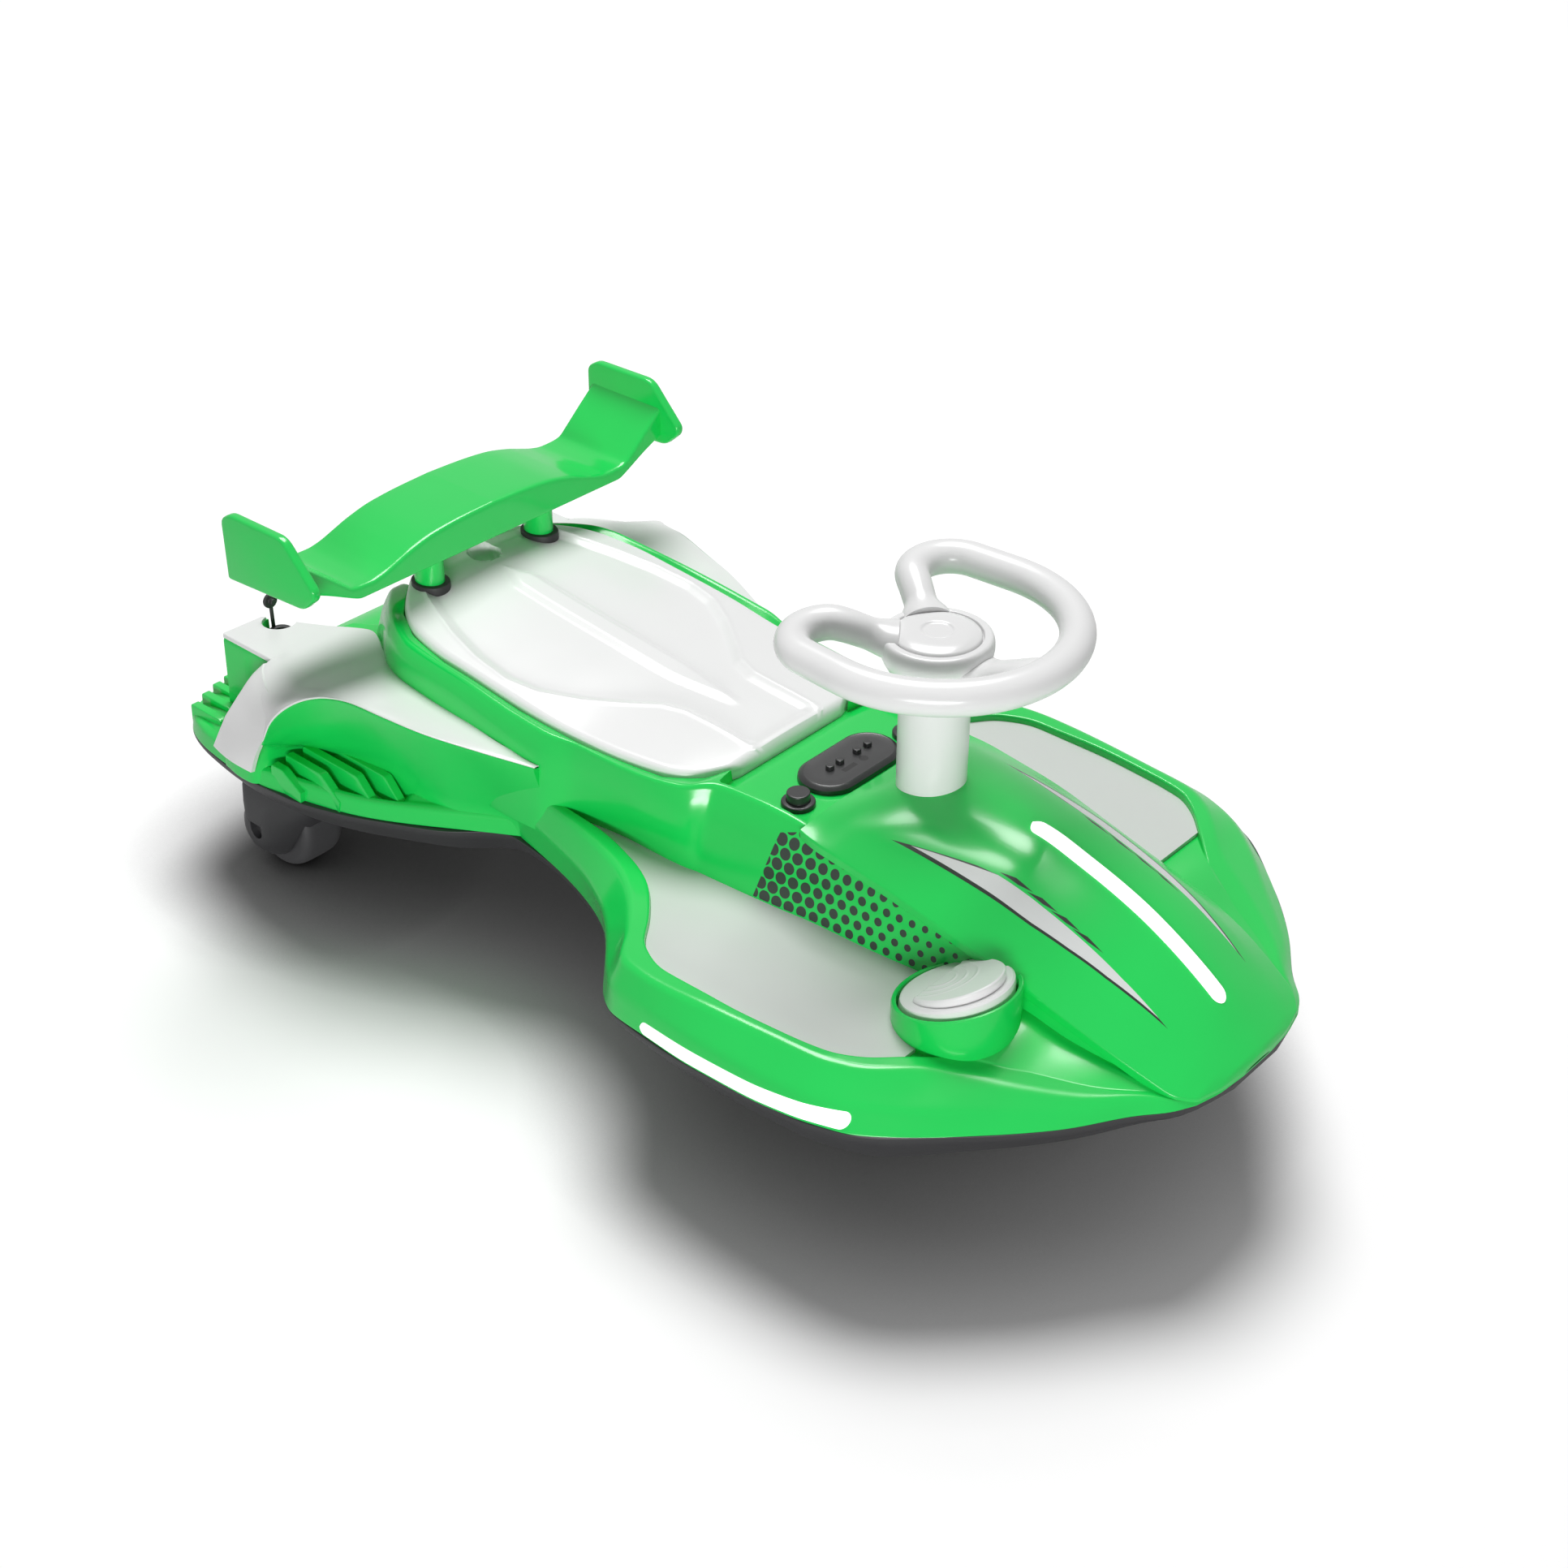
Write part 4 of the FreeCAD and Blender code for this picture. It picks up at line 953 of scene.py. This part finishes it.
class WIGGLE_OT_hood(bpy.types.Operator):
    """Arched hood with its stripes and the light strip sunk in its crown"""
    bl_idname = "wiggle.hood"
    bl_label = "Hood and light strip"

    def execute(self, context):
        x, table = smooth_table(HOOD, soften=5.0, tip=NOSE_TIP)
        crown_z, shoulder_y, shoulder_z, edge_y, edge_z = table.T
        low_z = np.maximum(edge_z - 8, 142)
        half = columns((0, crown_z + 1.5), (shoulder_y, shoulder_z + 1), (edge_y, edge_z),
                       (edge_y - 1, low_z), (0, low_z))
        loops = round_loop(mirrored(half), both_radii((60, 26, 1.5, 1, 0)), 12)
        Surface().loft(at_stations(x, loops)).piece(
            "hood_moulding", "body", ["hood"], "green_shell", made(context)["hood"])
        along, width = round_ended(273, 435, 6.5)
        height = np.interp(along, x, crown_z) + 0.6
        half = columns((0, height + 0.5), (width, height - 0.6), (width, height - 5), (0, height - 5))
        loops = round_loop(mirrored(half), both_radii((3, 1.2, 0, 0)))
        Surface().loft(at_stations(along, loops)).piece(
            "hood_light_bar", "body", ["hood_light_strip"], "light_strip", made(context)["light"])
        return {"FINISHED"}


class WIGGLE_OT_side_strips(bpy.types.Operator):
    """Light strips on the flanks"""
    bl_idname = "wiggle.side_strips"
    bl_label = "Side light strips"

    def execute(self, context):
        flank_x, table = smooth_table(FLARE)
        along, half_h = round_ended(127, 304, 5)
        crease_y, crease_z, edge_y, edge_z = [np.interp(along, flank_x, table[:, k]) for k in (5, 6, 7, 8)]
        middle = edge_z + 6.8

        def flank_y(z):
            return edge_y + (crease_y - edge_y) * (z - edge_z) / (crease_z - edge_z)
        top, foot = middle + half_h, middle - half_h
        ring = columns((flank_y(top) - 6, top), (flank_y(top) + 1, top), (flank_y(foot) + 1, foot),
                       (flank_y(foot) - 6, foot))
        loops = round_loop(ring, (0, 1.5, 1.5, 0))
        on_both_sides(along, loops, "side_light_bar_", "side_light_strip_", "light_strip",
                      made(context)["light"])
        return {"FINISHED"}


class WIGGLE_OT_trays(bpy.types.Operator):
    """Pale footwell trays"""
    bl_idname = "wiggle.trays"
    bl_label = "Footwell trays"

    def execute(self, context):
        x, table = smooth_table(FLARE)
        rows = (x > -74) & (x < 304)
        x, wall_y, lip_y = x[rows], table[rows, 0], table[rows, 2]
        ring = columns((wall_y - 4, 159.5), (lip_y + 0.5, 159.5), (lip_y + 0.5, 163), (wall_y - 4, 163))
        loops = round_loop(ring, (0, 0, 0.5, 0), spans=(0.02, 0.2, 0.4, 0.6, 0.8, 0.98))
        on_both_sides(x, loops, "footwell_floor_", "footwell_tray_", "grey_tray", made(context)["tray"])
        return {"FINISHED"}


class WIGGLE_OT_seat(bpy.types.Operator):
    """White seat with a raised border, soft grooves and a raised middle"""
    bl_idname = "wiggle.seat"
    bl_label = "Seat"

    def execute(self, context):
        x, table = smooth_table(SEAT, 2.5, 6.0)
        width, edge_z, crown_z = table.T
        across = np.linspace(-1, 1, 161)
        y = width[:, None] * across
        side = width[:, None] - np.abs(y)
        end = np.minimum(x - x[0], x[-1] - x)[:, None]
        near = np.minimum(side, end)
        rise = (crown_z - edge_z)[:, None] * (1 - across ** 2)
        groove = np.array(SEAT_GROOVE, float)
        inside = np.interp(x, groove[:, 0], groove[:, 1])[:, None] - np.abs(y)
        dished = -3.4 * np.clip(inside / 9, 0, 1) * soft_step(end, 3, 16) + 0.8 * np.exp(-(inside / 2.2) ** 2)
        half_ridge = 14 * soft_step(x, -262, -225) * (1 - 0.5 * soft_step(x, -70, 0))
        ridge = 2.6 * np.clip((half_ridge[:, None] - np.abs(y)) / 7, 0, 1)
        ridge = ridge * (1 - soft_step(x, -20, 6))[:, None]
        dish_x, dish_y, dish_r, dish_depth = FINGER_DISH
        reach = np.hypot(x[:, None] - dish_x, y - dish_y) / dish_r
        finger = -dish_depth * np.sqrt(np.clip(1 - reach ** 4, 0, 1)) * (reach < 1)
        edge_r = 6
        roll = np.clip(near, 0, edge_r)
        drop = edge_r - np.sqrt(edge_r ** 2 - (edge_r - roll) ** 2)
        z = edge_z[:, None] + rise + dished + ridge + finger - drop
        top = np.stack([x[:, None] + 0 * y, y, z], axis=-1)
        low = np.stack([x[:, None] + 0 * y[:, ::-1], y[:, ::-1], edge_z[:, None] - 14 + 0 * y], axis=-1)
        Surface().loft(np.concatenate([top, low], axis=1)).piece(
            "seat_moulding", "body", ["seat"], "white_plastic", made(context)["white"])
        return {"FINISHED"}


class WIGGLE_OT_wing(bpy.types.Operator):
    """Rear wing: arched blade, endplates, posts and their gaskets"""
    bl_idname = "wiggle.wing"
    bl_label = "Rear wing"

    def execute(self, context):
        finish = made(context)["green"]
        y, table = smooth_table(WING_LINE, 1.0, 2.0)
        crest, lip = table.T
        rear, front = -343.0, -262.0
        ring = columns((rear, crest), (front - 2, crest), (front, crest - 2), (front, lip),
                       (front - 5, lip), (front - 5, crest - 7), (rear, crest - 6))
        ring = round_loop(ring, (2, 3, 3, 1.5, 1.5, 5, 2))
        loops = np.concatenate([ring[:0:-1], ring])
        stations = np.concatenate([-y[:0:-1], y])[:, None, None]
        stations = np.broadcast_to(stations, loops.shape[:2] + (1,))
        loops = np.concatenate([loops[:, :, :1], stations, loops[:, :, 1:]], axis=2)
        Surface().loft(loops).piece("wing_blade_moulding", "body", ["wing_blade"], "green_shell", finish)
        corners = np.array(PLATE_LINE, float)[::-1]
        outline = round_loop(corners[None], (4, 6, 4, 4, 8, 5, 5), 7)[0]
        for name, side in SIDES:
            low, high = sorted((side * 189, side * 197))
            Surface().loft(slab(outline, low, high, 2.5, plane="xz")).piece(
                "wing_endplate_moulding_" + name, "body", ["wing_endplate_" + name], "green_shell", finish)
            section = ellipse(13.5, 11) + (-278, side * POST_Y)
            Surface().loft(np.stack([at_height(section, z) for z in (238, 262, 284, 302)])).piece(
                "wing_post_moulding_" + name, "body", ["wing_post_" + name], "green_shell", finish)
            collar = ellipse(17.5, 14) + (-277, side * POST_Y)
            Surface().loft(slab(collar, 250, 260.5, 1)).piece(
                "post_gasket_ring_" + name, "body", ["post_gasket_" + name], "black_rubber",
                made(context)["rubber"])
        return {"FINISHED"}


def hand_wheel_path(rim_r, tail=33.0, curl_r=28.0, arc=radians(94), hub_r=38.0):
    """Half of the hand wheel's line: arc from the front, straight tail, curl, then a spoke to the hub.

    Arc: (r cos a, r sin a) for a from 0 to arc. Tail: straight on along the arc's end.
    Curl: a circle on the inner side until it points at the hub.
    """
    angle = np.linspace(0, arc, 60)
    front = np.stack([rim_r * np.cos(angle), rim_r * np.sin(angle)], axis=-1)
    heading = np.array((-sin(arc), cos(arc)))
    inward = np.array((-cos(arc), -sin(arc)))
    tail_end = front[-1] + heading * tail
    middle = tail_end + inward * curl_r
    reach = np.linalg.norm(middle)
    turn_end = atan2(-middle[1], -middle[0]) - acos(curl_r / reach)
    turn_start = atan2(-inward[1], -inward[0])
    while turn_end < turn_start:
        turn_end += 2 * pi
    angle = np.linspace(turn_start, turn_end, 50)
    curl = middle + curl_r * np.stack([np.cos(angle), np.sin(angle)], axis=-1)
    inward = -curl[-1] / np.linalg.norm(curl[-1])
    spoke_end = -inward * (hub_r - 12)
    share = np.linspace(0, 1, 16)[1:, None]
    straight = front[-1] + (tail_end - front[-1]) * share
    spoke = curl[-1] + (spoke_end - curl[-1]) * share
    return np.concatenate([front, straight, curl[1:], spoke])


class WIGGLE_OT_hand_wheel(bpy.types.Operator):
    """Heart-shaped hand wheel with three spokes, its hub and cap"""
    bl_idname = "wiggle.hand_wheel"
    bl_label = "Hand wheel"

    def execute(self, context):
        car, white = context.scene.wiggle_car, made(context)["white"]
        half = hand_wheel_path(car.rim_radius / MM)
        step = np.linalg.norm(np.diff(half, axis=0), axis=1)
        run = np.concatenate([[0], np.cumsum(step)])
        even = np.linspace(0, run[-1], 150)
        half = np.stack([np.interp(even, run, half[:, k]) for k in range(2)], axis=-1)
        fall = 12 * soft_step(even, run[-1] - 50, run[-1])
        left = np.stack([half[:, 0] + STEER_X, half[:, 1], RIM_Z - fall], axis=-1)
        path = np.concatenate([left[:0:-1] * (1, -1, 1), left])
        whole = np.concatenate([even[:0:-1], even])
        grip = car.rim_tube / MM
        spoke = soft_step(whole, run[-1] - 60, run[-1] - 6)
        root = soft_step(whole, run[-1] - 22, run[-1] - 4)
        rim = Surface().loft(tube(path, grip - 1 * spoke + 7 * root, grip - 1.5 * spoke + 1.5 * root))
        share = np.linspace(0, 1, 24)
        near, far = STEER_X + 26, 95 - 26
        front = np.stack([near + far * share, 0 * share, 346 + 15 * soft_step(share, 0.1, 0.9)], axis=-1)
        width = 14 + 6 * (1 - soft_step(share, 0, 0.4)) + 12 * soft_step(share, 0.5, 1)
        rim.loft(tube(front, width, 7 + 3 * share))
        rim.piece("hand_wheel_moulding", "steering", ["steering_rim"], "white_plastic", white)
        column = (STEER_X, 0, 0)
        hub = [(0, 322), (21.5, 322), (22, 326), (29, 329), (39.5, 346), (39.5, 361), (32.2, 361.5),
               (31.4, 358), (0, 358)]
        Surface().turn(hub, (0.5, 2, 5, 10, 8, 1, 0.5), column, 8).piece(
            "hub_moulding", "steering", ["steering_hub"], "white_plastic", white)
        cap = [(0, 356), (30.8, 356), (30.8, 361.5), (24, 364.2), (12, 364.6), (10, 363.4), (0, 363.4)]
        Surface().turn(cap, (0, 2, 8, 1.5, 1.5), column, 8).piece(
            "hub_cap_dome", "steering", ["hub_cap"], "white_plastic", white)
        shroud = [(0, 224), (25, 224), (25.2, 318), (22.2, 320.5), (21, 320.5), (21, 317), (0, 317)]
        Surface().turn(shroud, (1, 3, 1, 0.4, 0.4), column, 6).piece(
            "column_moulding", "body", ["column_shroud"], "white_plastic", white)
        return {"FINISHED"}


class WIGGLE_OT_console(bpy.types.Operator):
    """Control panel with four buttons, and the round buttons beside it"""
    bl_idname = "wiggle.console"
    bl_label = "Console controls"

    def execute(self, context):
        black = made(context)["black"]
        outline = stadium(23.5, 45) + (109.5, 0)
        rings = ((0.6, 221), (0, 223), (0.4, 225.6), (2, 227.4), (4.2, 228.2), (5, 228), (12, 228))
        plate = np.stack([at_height(inset(outline, inwards), z) for inwards, z in rings])
        Surface().loft(plate).piece(
            "control_panel_moulding", "body", ["control_panel"], "black_gloss", made(context)["panel"],
            sharp=30)
        buttons = Surface()
        for y in (-19, -8, 11, 23):
            button = [(0, 227), (3.3, 227), (3.2, 231.4), (0, 231.4)]
            buttons.turn(button, (0, 0.7), (107.5, y, 0), around=32)
        buttons.piece("panel_button_set", "body", ["panel_buttons"], "black_gloss", black)
        for name, side in SIDES:
            knob = [(0, 222), (12.5, 222), (12.5, 225.5), (8.9, 226.2), (8.6, 225.5), (8.5, 232.8),
                    (0, 232.8)]
            Surface().turn(knob, (0, 1.2, 0.3, 0.2, 0.9), (115, side * 62, 0)).piece(
                "round_button_knob_" + name, "body", ["round_button_" + name], "black_gloss", black)
        return {"FINISHED"}


class WIGGLE_OT_pedal(bpy.types.Operator):
    """Green cup and the rippled white pedal in it"""
    bl_idname = "wiggle.pedal"
    bl_label = "Pedal"

    def execute(self, context):
        angle = np.linspace(0, 2 * pi, 120, endpoint=False)
        east, north = np.cos(angle), np.sin(angle)

        def ring(radius, height, slope):
            """A circle about the cup's axis, lifted to a plane that rises forward."""
            u = radius * east
            return np.stack([PEDAL_X + u, radius * north + PEDAL_Y, height + slope * u], axis=-1)
        cup = [ring(1, 150, 0), ring(43.5, 150, 0), ring(43.5, 183.5, 0.3), ring(43, 185.4, 0.3),
               ring(42, 186, 0.3), ring(41, 185.8, 0.3), ring(40, 184.8, 0.3), ring(39.6, 163, 0),
               ring(1, 163, 0)]
        Surface().loft(np.stack(cup)).piece(
            "pedal_cup_moulding", "body", ["pedal_cup"], "green_shell", made(context)["green"])
        skirt = [ring(1, 163, 0), ring(38.6, 163, 0), ring(38.4, 184, 0.36), ring(37.6, 188.4, 0.38),
                 ring(36, 189.6, 0.39), ring(20, 189.4, 0.4), ring(1, 189.4, 0.4)]
        pedal = Surface().loft(np.stack(skirt))
        shoulder = 31.2 - 1.8 * np.cos(np.linspace(0.3, pi / 2, 6)) ** 2
        radius = np.concatenate([np.linspace(0.01, 29.4, 64), shoulder, [31.6, 32.2]])[:, None]
        drop = np.concatenate([np.zeros(64), 1.8 * (1 - np.cos(np.linspace(0, pi / 2, 6))), [7, 16]])[:, None]
        u, v = radius * east, radius * north
        chord = -15.5
        overhang = np.maximum(chord - u, 0)
        u = np.maximum(u, chord)
        drop = drop + 2.0 * soft_step(overhang, 0, 2.5) + 10 * soft_step(overhang, 2.5, 6)
        away = np.hypot(u + 15, v)
        waves = sum(0.55 * np.exp(-((away - r) / 0.9) ** 2) for r in (11, 18, 25))
        waves = waves * soft_step(-away, -31, -28)
        waves = waves - 0.45 * soft_step(-away, -26, -24)
        z = 194.5 + 0.49 * u - drop + waves * (drop < 1)
        pedal.loft(np.stack([PEDAL_X + u, v + PEDAL_Y, np.maximum(z, 170)], axis=-1))
        pedal.piece("pedal_pad", "body", ["pedal"], "white_plastic", made(context)["white"])
        return {"FINISHED"}


class WIGGLE_OT_charge_port(bpy.types.Operator):
    """Charge socket with its cap on a short tether"""
    bl_idname = "wiggle.charge_port"
    bl_label = "Charge port"

    def execute(self, context):
        rubber = made(context)["rubber"]
        socket = [(2.75, PORT_Z), (11, PORT_Z), (11, 192), (9.5, 194), (5, 194), (4, 192), (2.75, 192),
                  (2.75, PORT_Z)]
        Surface().turn(socket, (0, 1, 1, 1, 0.5, 0.2), PORT).piece(
            "charge_socket_ring", "body", ["charge_socket"], "black_rubber", rubber)
        share = np.linspace(0, 1, 20)
        angle = np.linspace(0, 2 * pi, 16, endpoint=False)
        port_x, port_y, _ = PORT
        tether_x = port_x - 9
        root_z, height = 186, 32
        centre = np.stack([tether_x + 0 * share, port_y + 0 * share, root_z + height * share], axis=-1)
        ring = np.stack([np.cos(angle), np.sin(angle), 0 * angle], axis=-1)
        radius = 1.6 + 0.8 * (1 - soft_step(share, 0, 0.3))
        cap = Surface().loft(centre[:, None] + ring * radius[:, None, None])
        plug = [(0, -1.5), (6.5, -1.5), (6.5, 1.5), (3.2, 1.5), (2.6, 2), (2.6, 5), (0, 5)]
        cap.turn(plug, (1, 1, 0.3, 0.3, 0.8), (tether_x, port_y, root_z + height), axis="x", around=40)
        cap.piece("charge_cap_rubber", "body", ["charge_cap"], "black_rubber", rubber)
        return {"FINISHED"}


class WIGGLE_OT_underbody(bpy.types.Operator):
    """Dark lower shell, wheel housings and wheels"""
    bl_idname = "wiggle.underbody"
    bl_label = "Underbody and wheels"

    def execute(self, context):
        finish = made(context)
        x, table = smooth_table(KEEL, 4.0, 5.0)
        edge_y, edge_z, drop = table.T
        half = columns((0, edge_z), (edge_y, edge_z), (edge_y - 1, edge_z - 6), (edge_y - 16, edge_z - drop),
                       (0, edge_z - drop))
        loops = round_loop(mirrored(half), both_radii((0, 1, 4, 9, 0)))
        keel = Surface().loft(at_stations(x, loops)).piece(
            "lower_shell_moulding", "body", ["lower_shell"], "dark_underbody", finish["dark"])
        x, y, radius, _ = REAR_WHEEL
        room_r, room_half = WHEEL_ROOM
        for name, side in SIDES:
            room = drum(room_r, -room_half, room_half, (x, side * y, radius), "y", 96)
            hollow(keel, room)
            self.housing(name, side, room, finish["dark"])
        for end, (x, y, radius, half_w) in (("rear", REAR_WHEEL), ("front", FRONT_WHEEL)):
            core_r = radius * 0.62
            tyre = [(core_r, -half_w), (radius - 1, -half_w), (radius, 0), (radius - 1, half_w),
                    (core_r, half_w), (core_r, -half_w)]
            for name, side in SIDES:
                Surface().turn(tyre, (12, 20, 12, 0), (x, side * y, radius), 8, "y", 96).piece(
                    end + "_tread_" + name, end + "_wheel_" + name, [end + "_tyre_" + name], "wheel_rubber",
                    finish["tyre"])
        return {"FINISHED"}

    def housing(self, name, side, room, finish):
        """A domed fork over a rear wheel, lofted across the car through outlines about the axle.

        An outline is a circle of the radius, joined by its tangent of angle lean to a block above it:
        r / cos(angle - lean) below the block's corner, and the block's own sides above.
        """
        axle_x, _, axle_z, _ = REAR_WHEEL
        angle = np.linspace(0, 2 * pi, 120, endpoint=False)
        east, up = np.cos(angle), np.sin(angle)
        sections = []
        for y, radius, top, front, rear in FORK:
            corner_z = top * 0.52
            lean = np.arctan2(corner_z, front) - np.arccos(min(radius / np.hypot(front, corner_z), 1))
            past = (angle - lean + pi) % (2 * pi) - pi
            tangent = np.where(past < 0, radius, radius / np.maximum(np.cos(past), 0.05))
            block = np.minimum(top / np.maximum(up, 0.01), np.maximum(front * (east > 0), rear * (east <= 0))
                               / np.maximum(np.abs(east), 0.01))
            reach = np.maximum(radius, np.minimum(block, tangent))
            reach = sum(weight * np.roll(reach, shift) for shift, weight in SOFT_CORNER)
            sections.append(np.stack([reach * east + axle_x, np.full(120, side * y), reach * up + axle_z],
                                     axis=-1))
        piece = Surface().loft(np.stack(sections)).piece(
            "wheel_fork_" + name, "body", ["rear_wheel_housing_" + name], "dark_underbody", finish)
        hollow(piece, room)


# CAD nodes that show as they are, by finish
CARRIED = {
    "dark": ("front_cross_arm", "battery_block", "motor_block"),
    "core": ("rear_wheel_core_right", "rear_wheel_core_left", "front_wheel_core_right",
             "front_wheel_core_left"),
    "steel": ("rear_axle_right", "rear_axle_left", "front_axle", "steering_shaft"),
}


class WIGGLE_OT_carried(bpy.types.Operator):
    """Finishes of the CAD pieces that stay as they are"""
    bl_idname = "wiggle.carried"
    bl_label = "Carried pieces"

    def execute(self, context):
        for finish, nodes in CARRIED.items():
            for node in nodes:
                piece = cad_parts[node]
                piece.data.materials.clear()
                piece.data.materials.append(made(context)[finish])
        return {"FINISHED"}


# Stage, in metres and degrees. Lamps: name, place, width, height, power in watts
FLOOR_SPAN = 3.4
# Reach in metres of the shadow painted on the floor around the car
SHADE_REACH = 0.13
LAMPS = (("key", (-1.6, 1.75, 5.7), 3.4, 3.4, 350), ("front_fill", (2.7, -3.4, 0.6), 3.0, 0.8, 122))
LAMP_AIM = (0, 0, 0.15)
EYE = (1.01315, -1.08526, 1.13692)
AZIMUTH = 41.7
ELEVATION = 33.4
LENS = 53.16
# Strength of the white world as the camera sees it, in reflections and as light
WORLD_SEEN = 1.0
WORLD_GLOSS = 0.6
WORLD_LIGHT = 0.18


class WIGGLE_OT_stage(bpy.types.Operator):
    """White floor with a painted shadow that darkens it near the car, soft lamps and the camera"""
    bl_idname = "wiggle.stage"
    bl_label = "Stage"

    def execute(self, context):
        scene = context.scene
        mesh = bpy.data.meshes.new("floor")
        corners = [(u * FLOOR_SPAN, v * FLOOR_SPAN, 0) for u, v in ((-1, -1), (1, -1), (1, 1), (-1, 1))]
        mesh.from_pydata(corners, [], [(0, 1, 2, 3)])
        floor = bpy.data.objects.new("floor", mesh)
        scene.collection.objects.link(floor)
        ground = Finish("floor", Roughness=0.9, Specular_IOR_Level=0.0)
        rays = ground.add("ShaderNodeLightPath", {}, {}, "Is Camera Ray")
        # Painted shadow: the floor's colour darkens towards the car with ambient occlusion, as a contact
        # shadow
        near = ground.add("ShaderNodeAmbientOcclusion", {"samples": 16}, {"Distance": SHADE_REACH}, "AO")
        shade = ground.blend(near * near, (0.02, 0.02, 0.02, 1), (1.0, 1.0, 1.0, 1))
        ground.feed("Base Color", ground.blend(rays, (0.6, 0.6, 0.6, 1), shade))
        mesh.materials.append(ground.material)
        world = bpy.data.worlds.new("studio")
        scene.world = world
        world.use_nodes = True
        nodes, links = world.node_tree.nodes, world.node_tree.links
        nodes["Background"].inputs[0].default_value = (1, 1, 1, 1)
        path = nodes.new("ShaderNodeLightPath")
        direct, mirror = nodes.new("ShaderNodeMapRange"), nodes.new("ShaderNodeMapRange")
        mirror.inputs["To Min"].default_value = WORLD_LIGHT
        mirror.inputs["To Max"].default_value = WORLD_GLOSS
        direct.inputs["To Max"].default_value = WORLD_SEEN
        links.new(path.outputs["Is Glossy Ray"], mirror.inputs["Value"])
        links.new(path.outputs["Is Camera Ray"], direct.inputs["Value"])
        links.new(mirror.outputs["Result"], direct.inputs["To Min"])
        links.new(direct.outputs["Result"], nodes["Background"].inputs[1])
        for name, place, width, height, power in LAMPS:
            lamp = bpy.data.lights.new(name, "AREA")
            lamp.shape, lamp.size, lamp.size_y, lamp.energy = "ELLIPSE", width, height, power
            holder = bpy.data.objects.new(name, lamp)
            holder.location = place
            holder.rotation_mode = "QUATERNION"
            holder.rotation_quaternion = (Vector(LAMP_AIM) - Vector(place)).to_track_quat("-Z", "Y")
            scene.collection.objects.link(holder)
        camera = bpy.data.cameras.new("camera")
        camera.lens, camera.sensor_width = LENS, 36.0
        eye = bpy.data.objects.new("camera", camera)
        azimuth, elevation = radians(AZIMUTH), radians(ELEVATION)
        back = Vector((sin(azimuth) * cos(elevation), -cos(azimuth) * cos(elevation), sin(elevation)))
        eye.location = EYE
        eye.rotation_mode = "QUATERNION"
        eye.rotation_quaternion = (-back).to_track_quat("-Z", "Y")
        scene.collection.objects.link(eye)
        scene.camera = eye
        scene.view_settings.view_transform = "Standard"
        return {"FINISHED"}


OPERATORS = (
    WIGGLE_OT_stage, WIGGLE_OT_deck, WIGGLE_OT_spine, WIGGLE_OT_haunches, WIGGLE_OT_deck_panels,
    WIGGLE_OT_hood, WIGGLE_OT_side_strips, WIGGLE_OT_trays, WIGGLE_OT_seat, WIGGLE_OT_wing,
    WIGGLE_OT_hand_wheel, WIGGLE_OT_console, WIGGLE_OT_pedal, WIGGLE_OT_charge_port,
    WIGGLE_OT_underbody, WIGGLE_OT_carried,
)


class WIGGLE_PT_car(bpy.types.Panel):
    """Sidebar panel of the wiggle car"""
    bl_idname = "WIGGLE_PT_car"
    bl_label = "Wiggle car"
    bl_space_type = "VIEW_3D"
    bl_region_type = "UI"
    bl_category = "Wiggle car"

    def draw(self, context):
        car = context.scene.wiggle_car
        for key in WiggleCarSettings.__annotations__:
            self.layout.prop(car, key)
        for operator in OPERATORS:
            self.layout.operator(operator.bl_idname)


CLASSES = (WiggleCarSettings, *OPERATORS, WIGGLE_PT_car)


def register():
    for one in CLASSES:
        bpy.utils.register_class(one)
    bpy.types.Scene.wiggle_car = bpy.props.PointerProperty(type=WiggleCarSettings)


def unregister():
    del bpy.types.Scene.wiggle_car
    for one in reversed(CLASSES):
        bpy.utils.unregister_class(one)


def main():
    register()
    for operator in OPERATORS:
        group, action = operator.bl_idname.split(".")
        getattr(getattr(bpy.ops, group), action)()


if __name__ == "__main__":
    main()
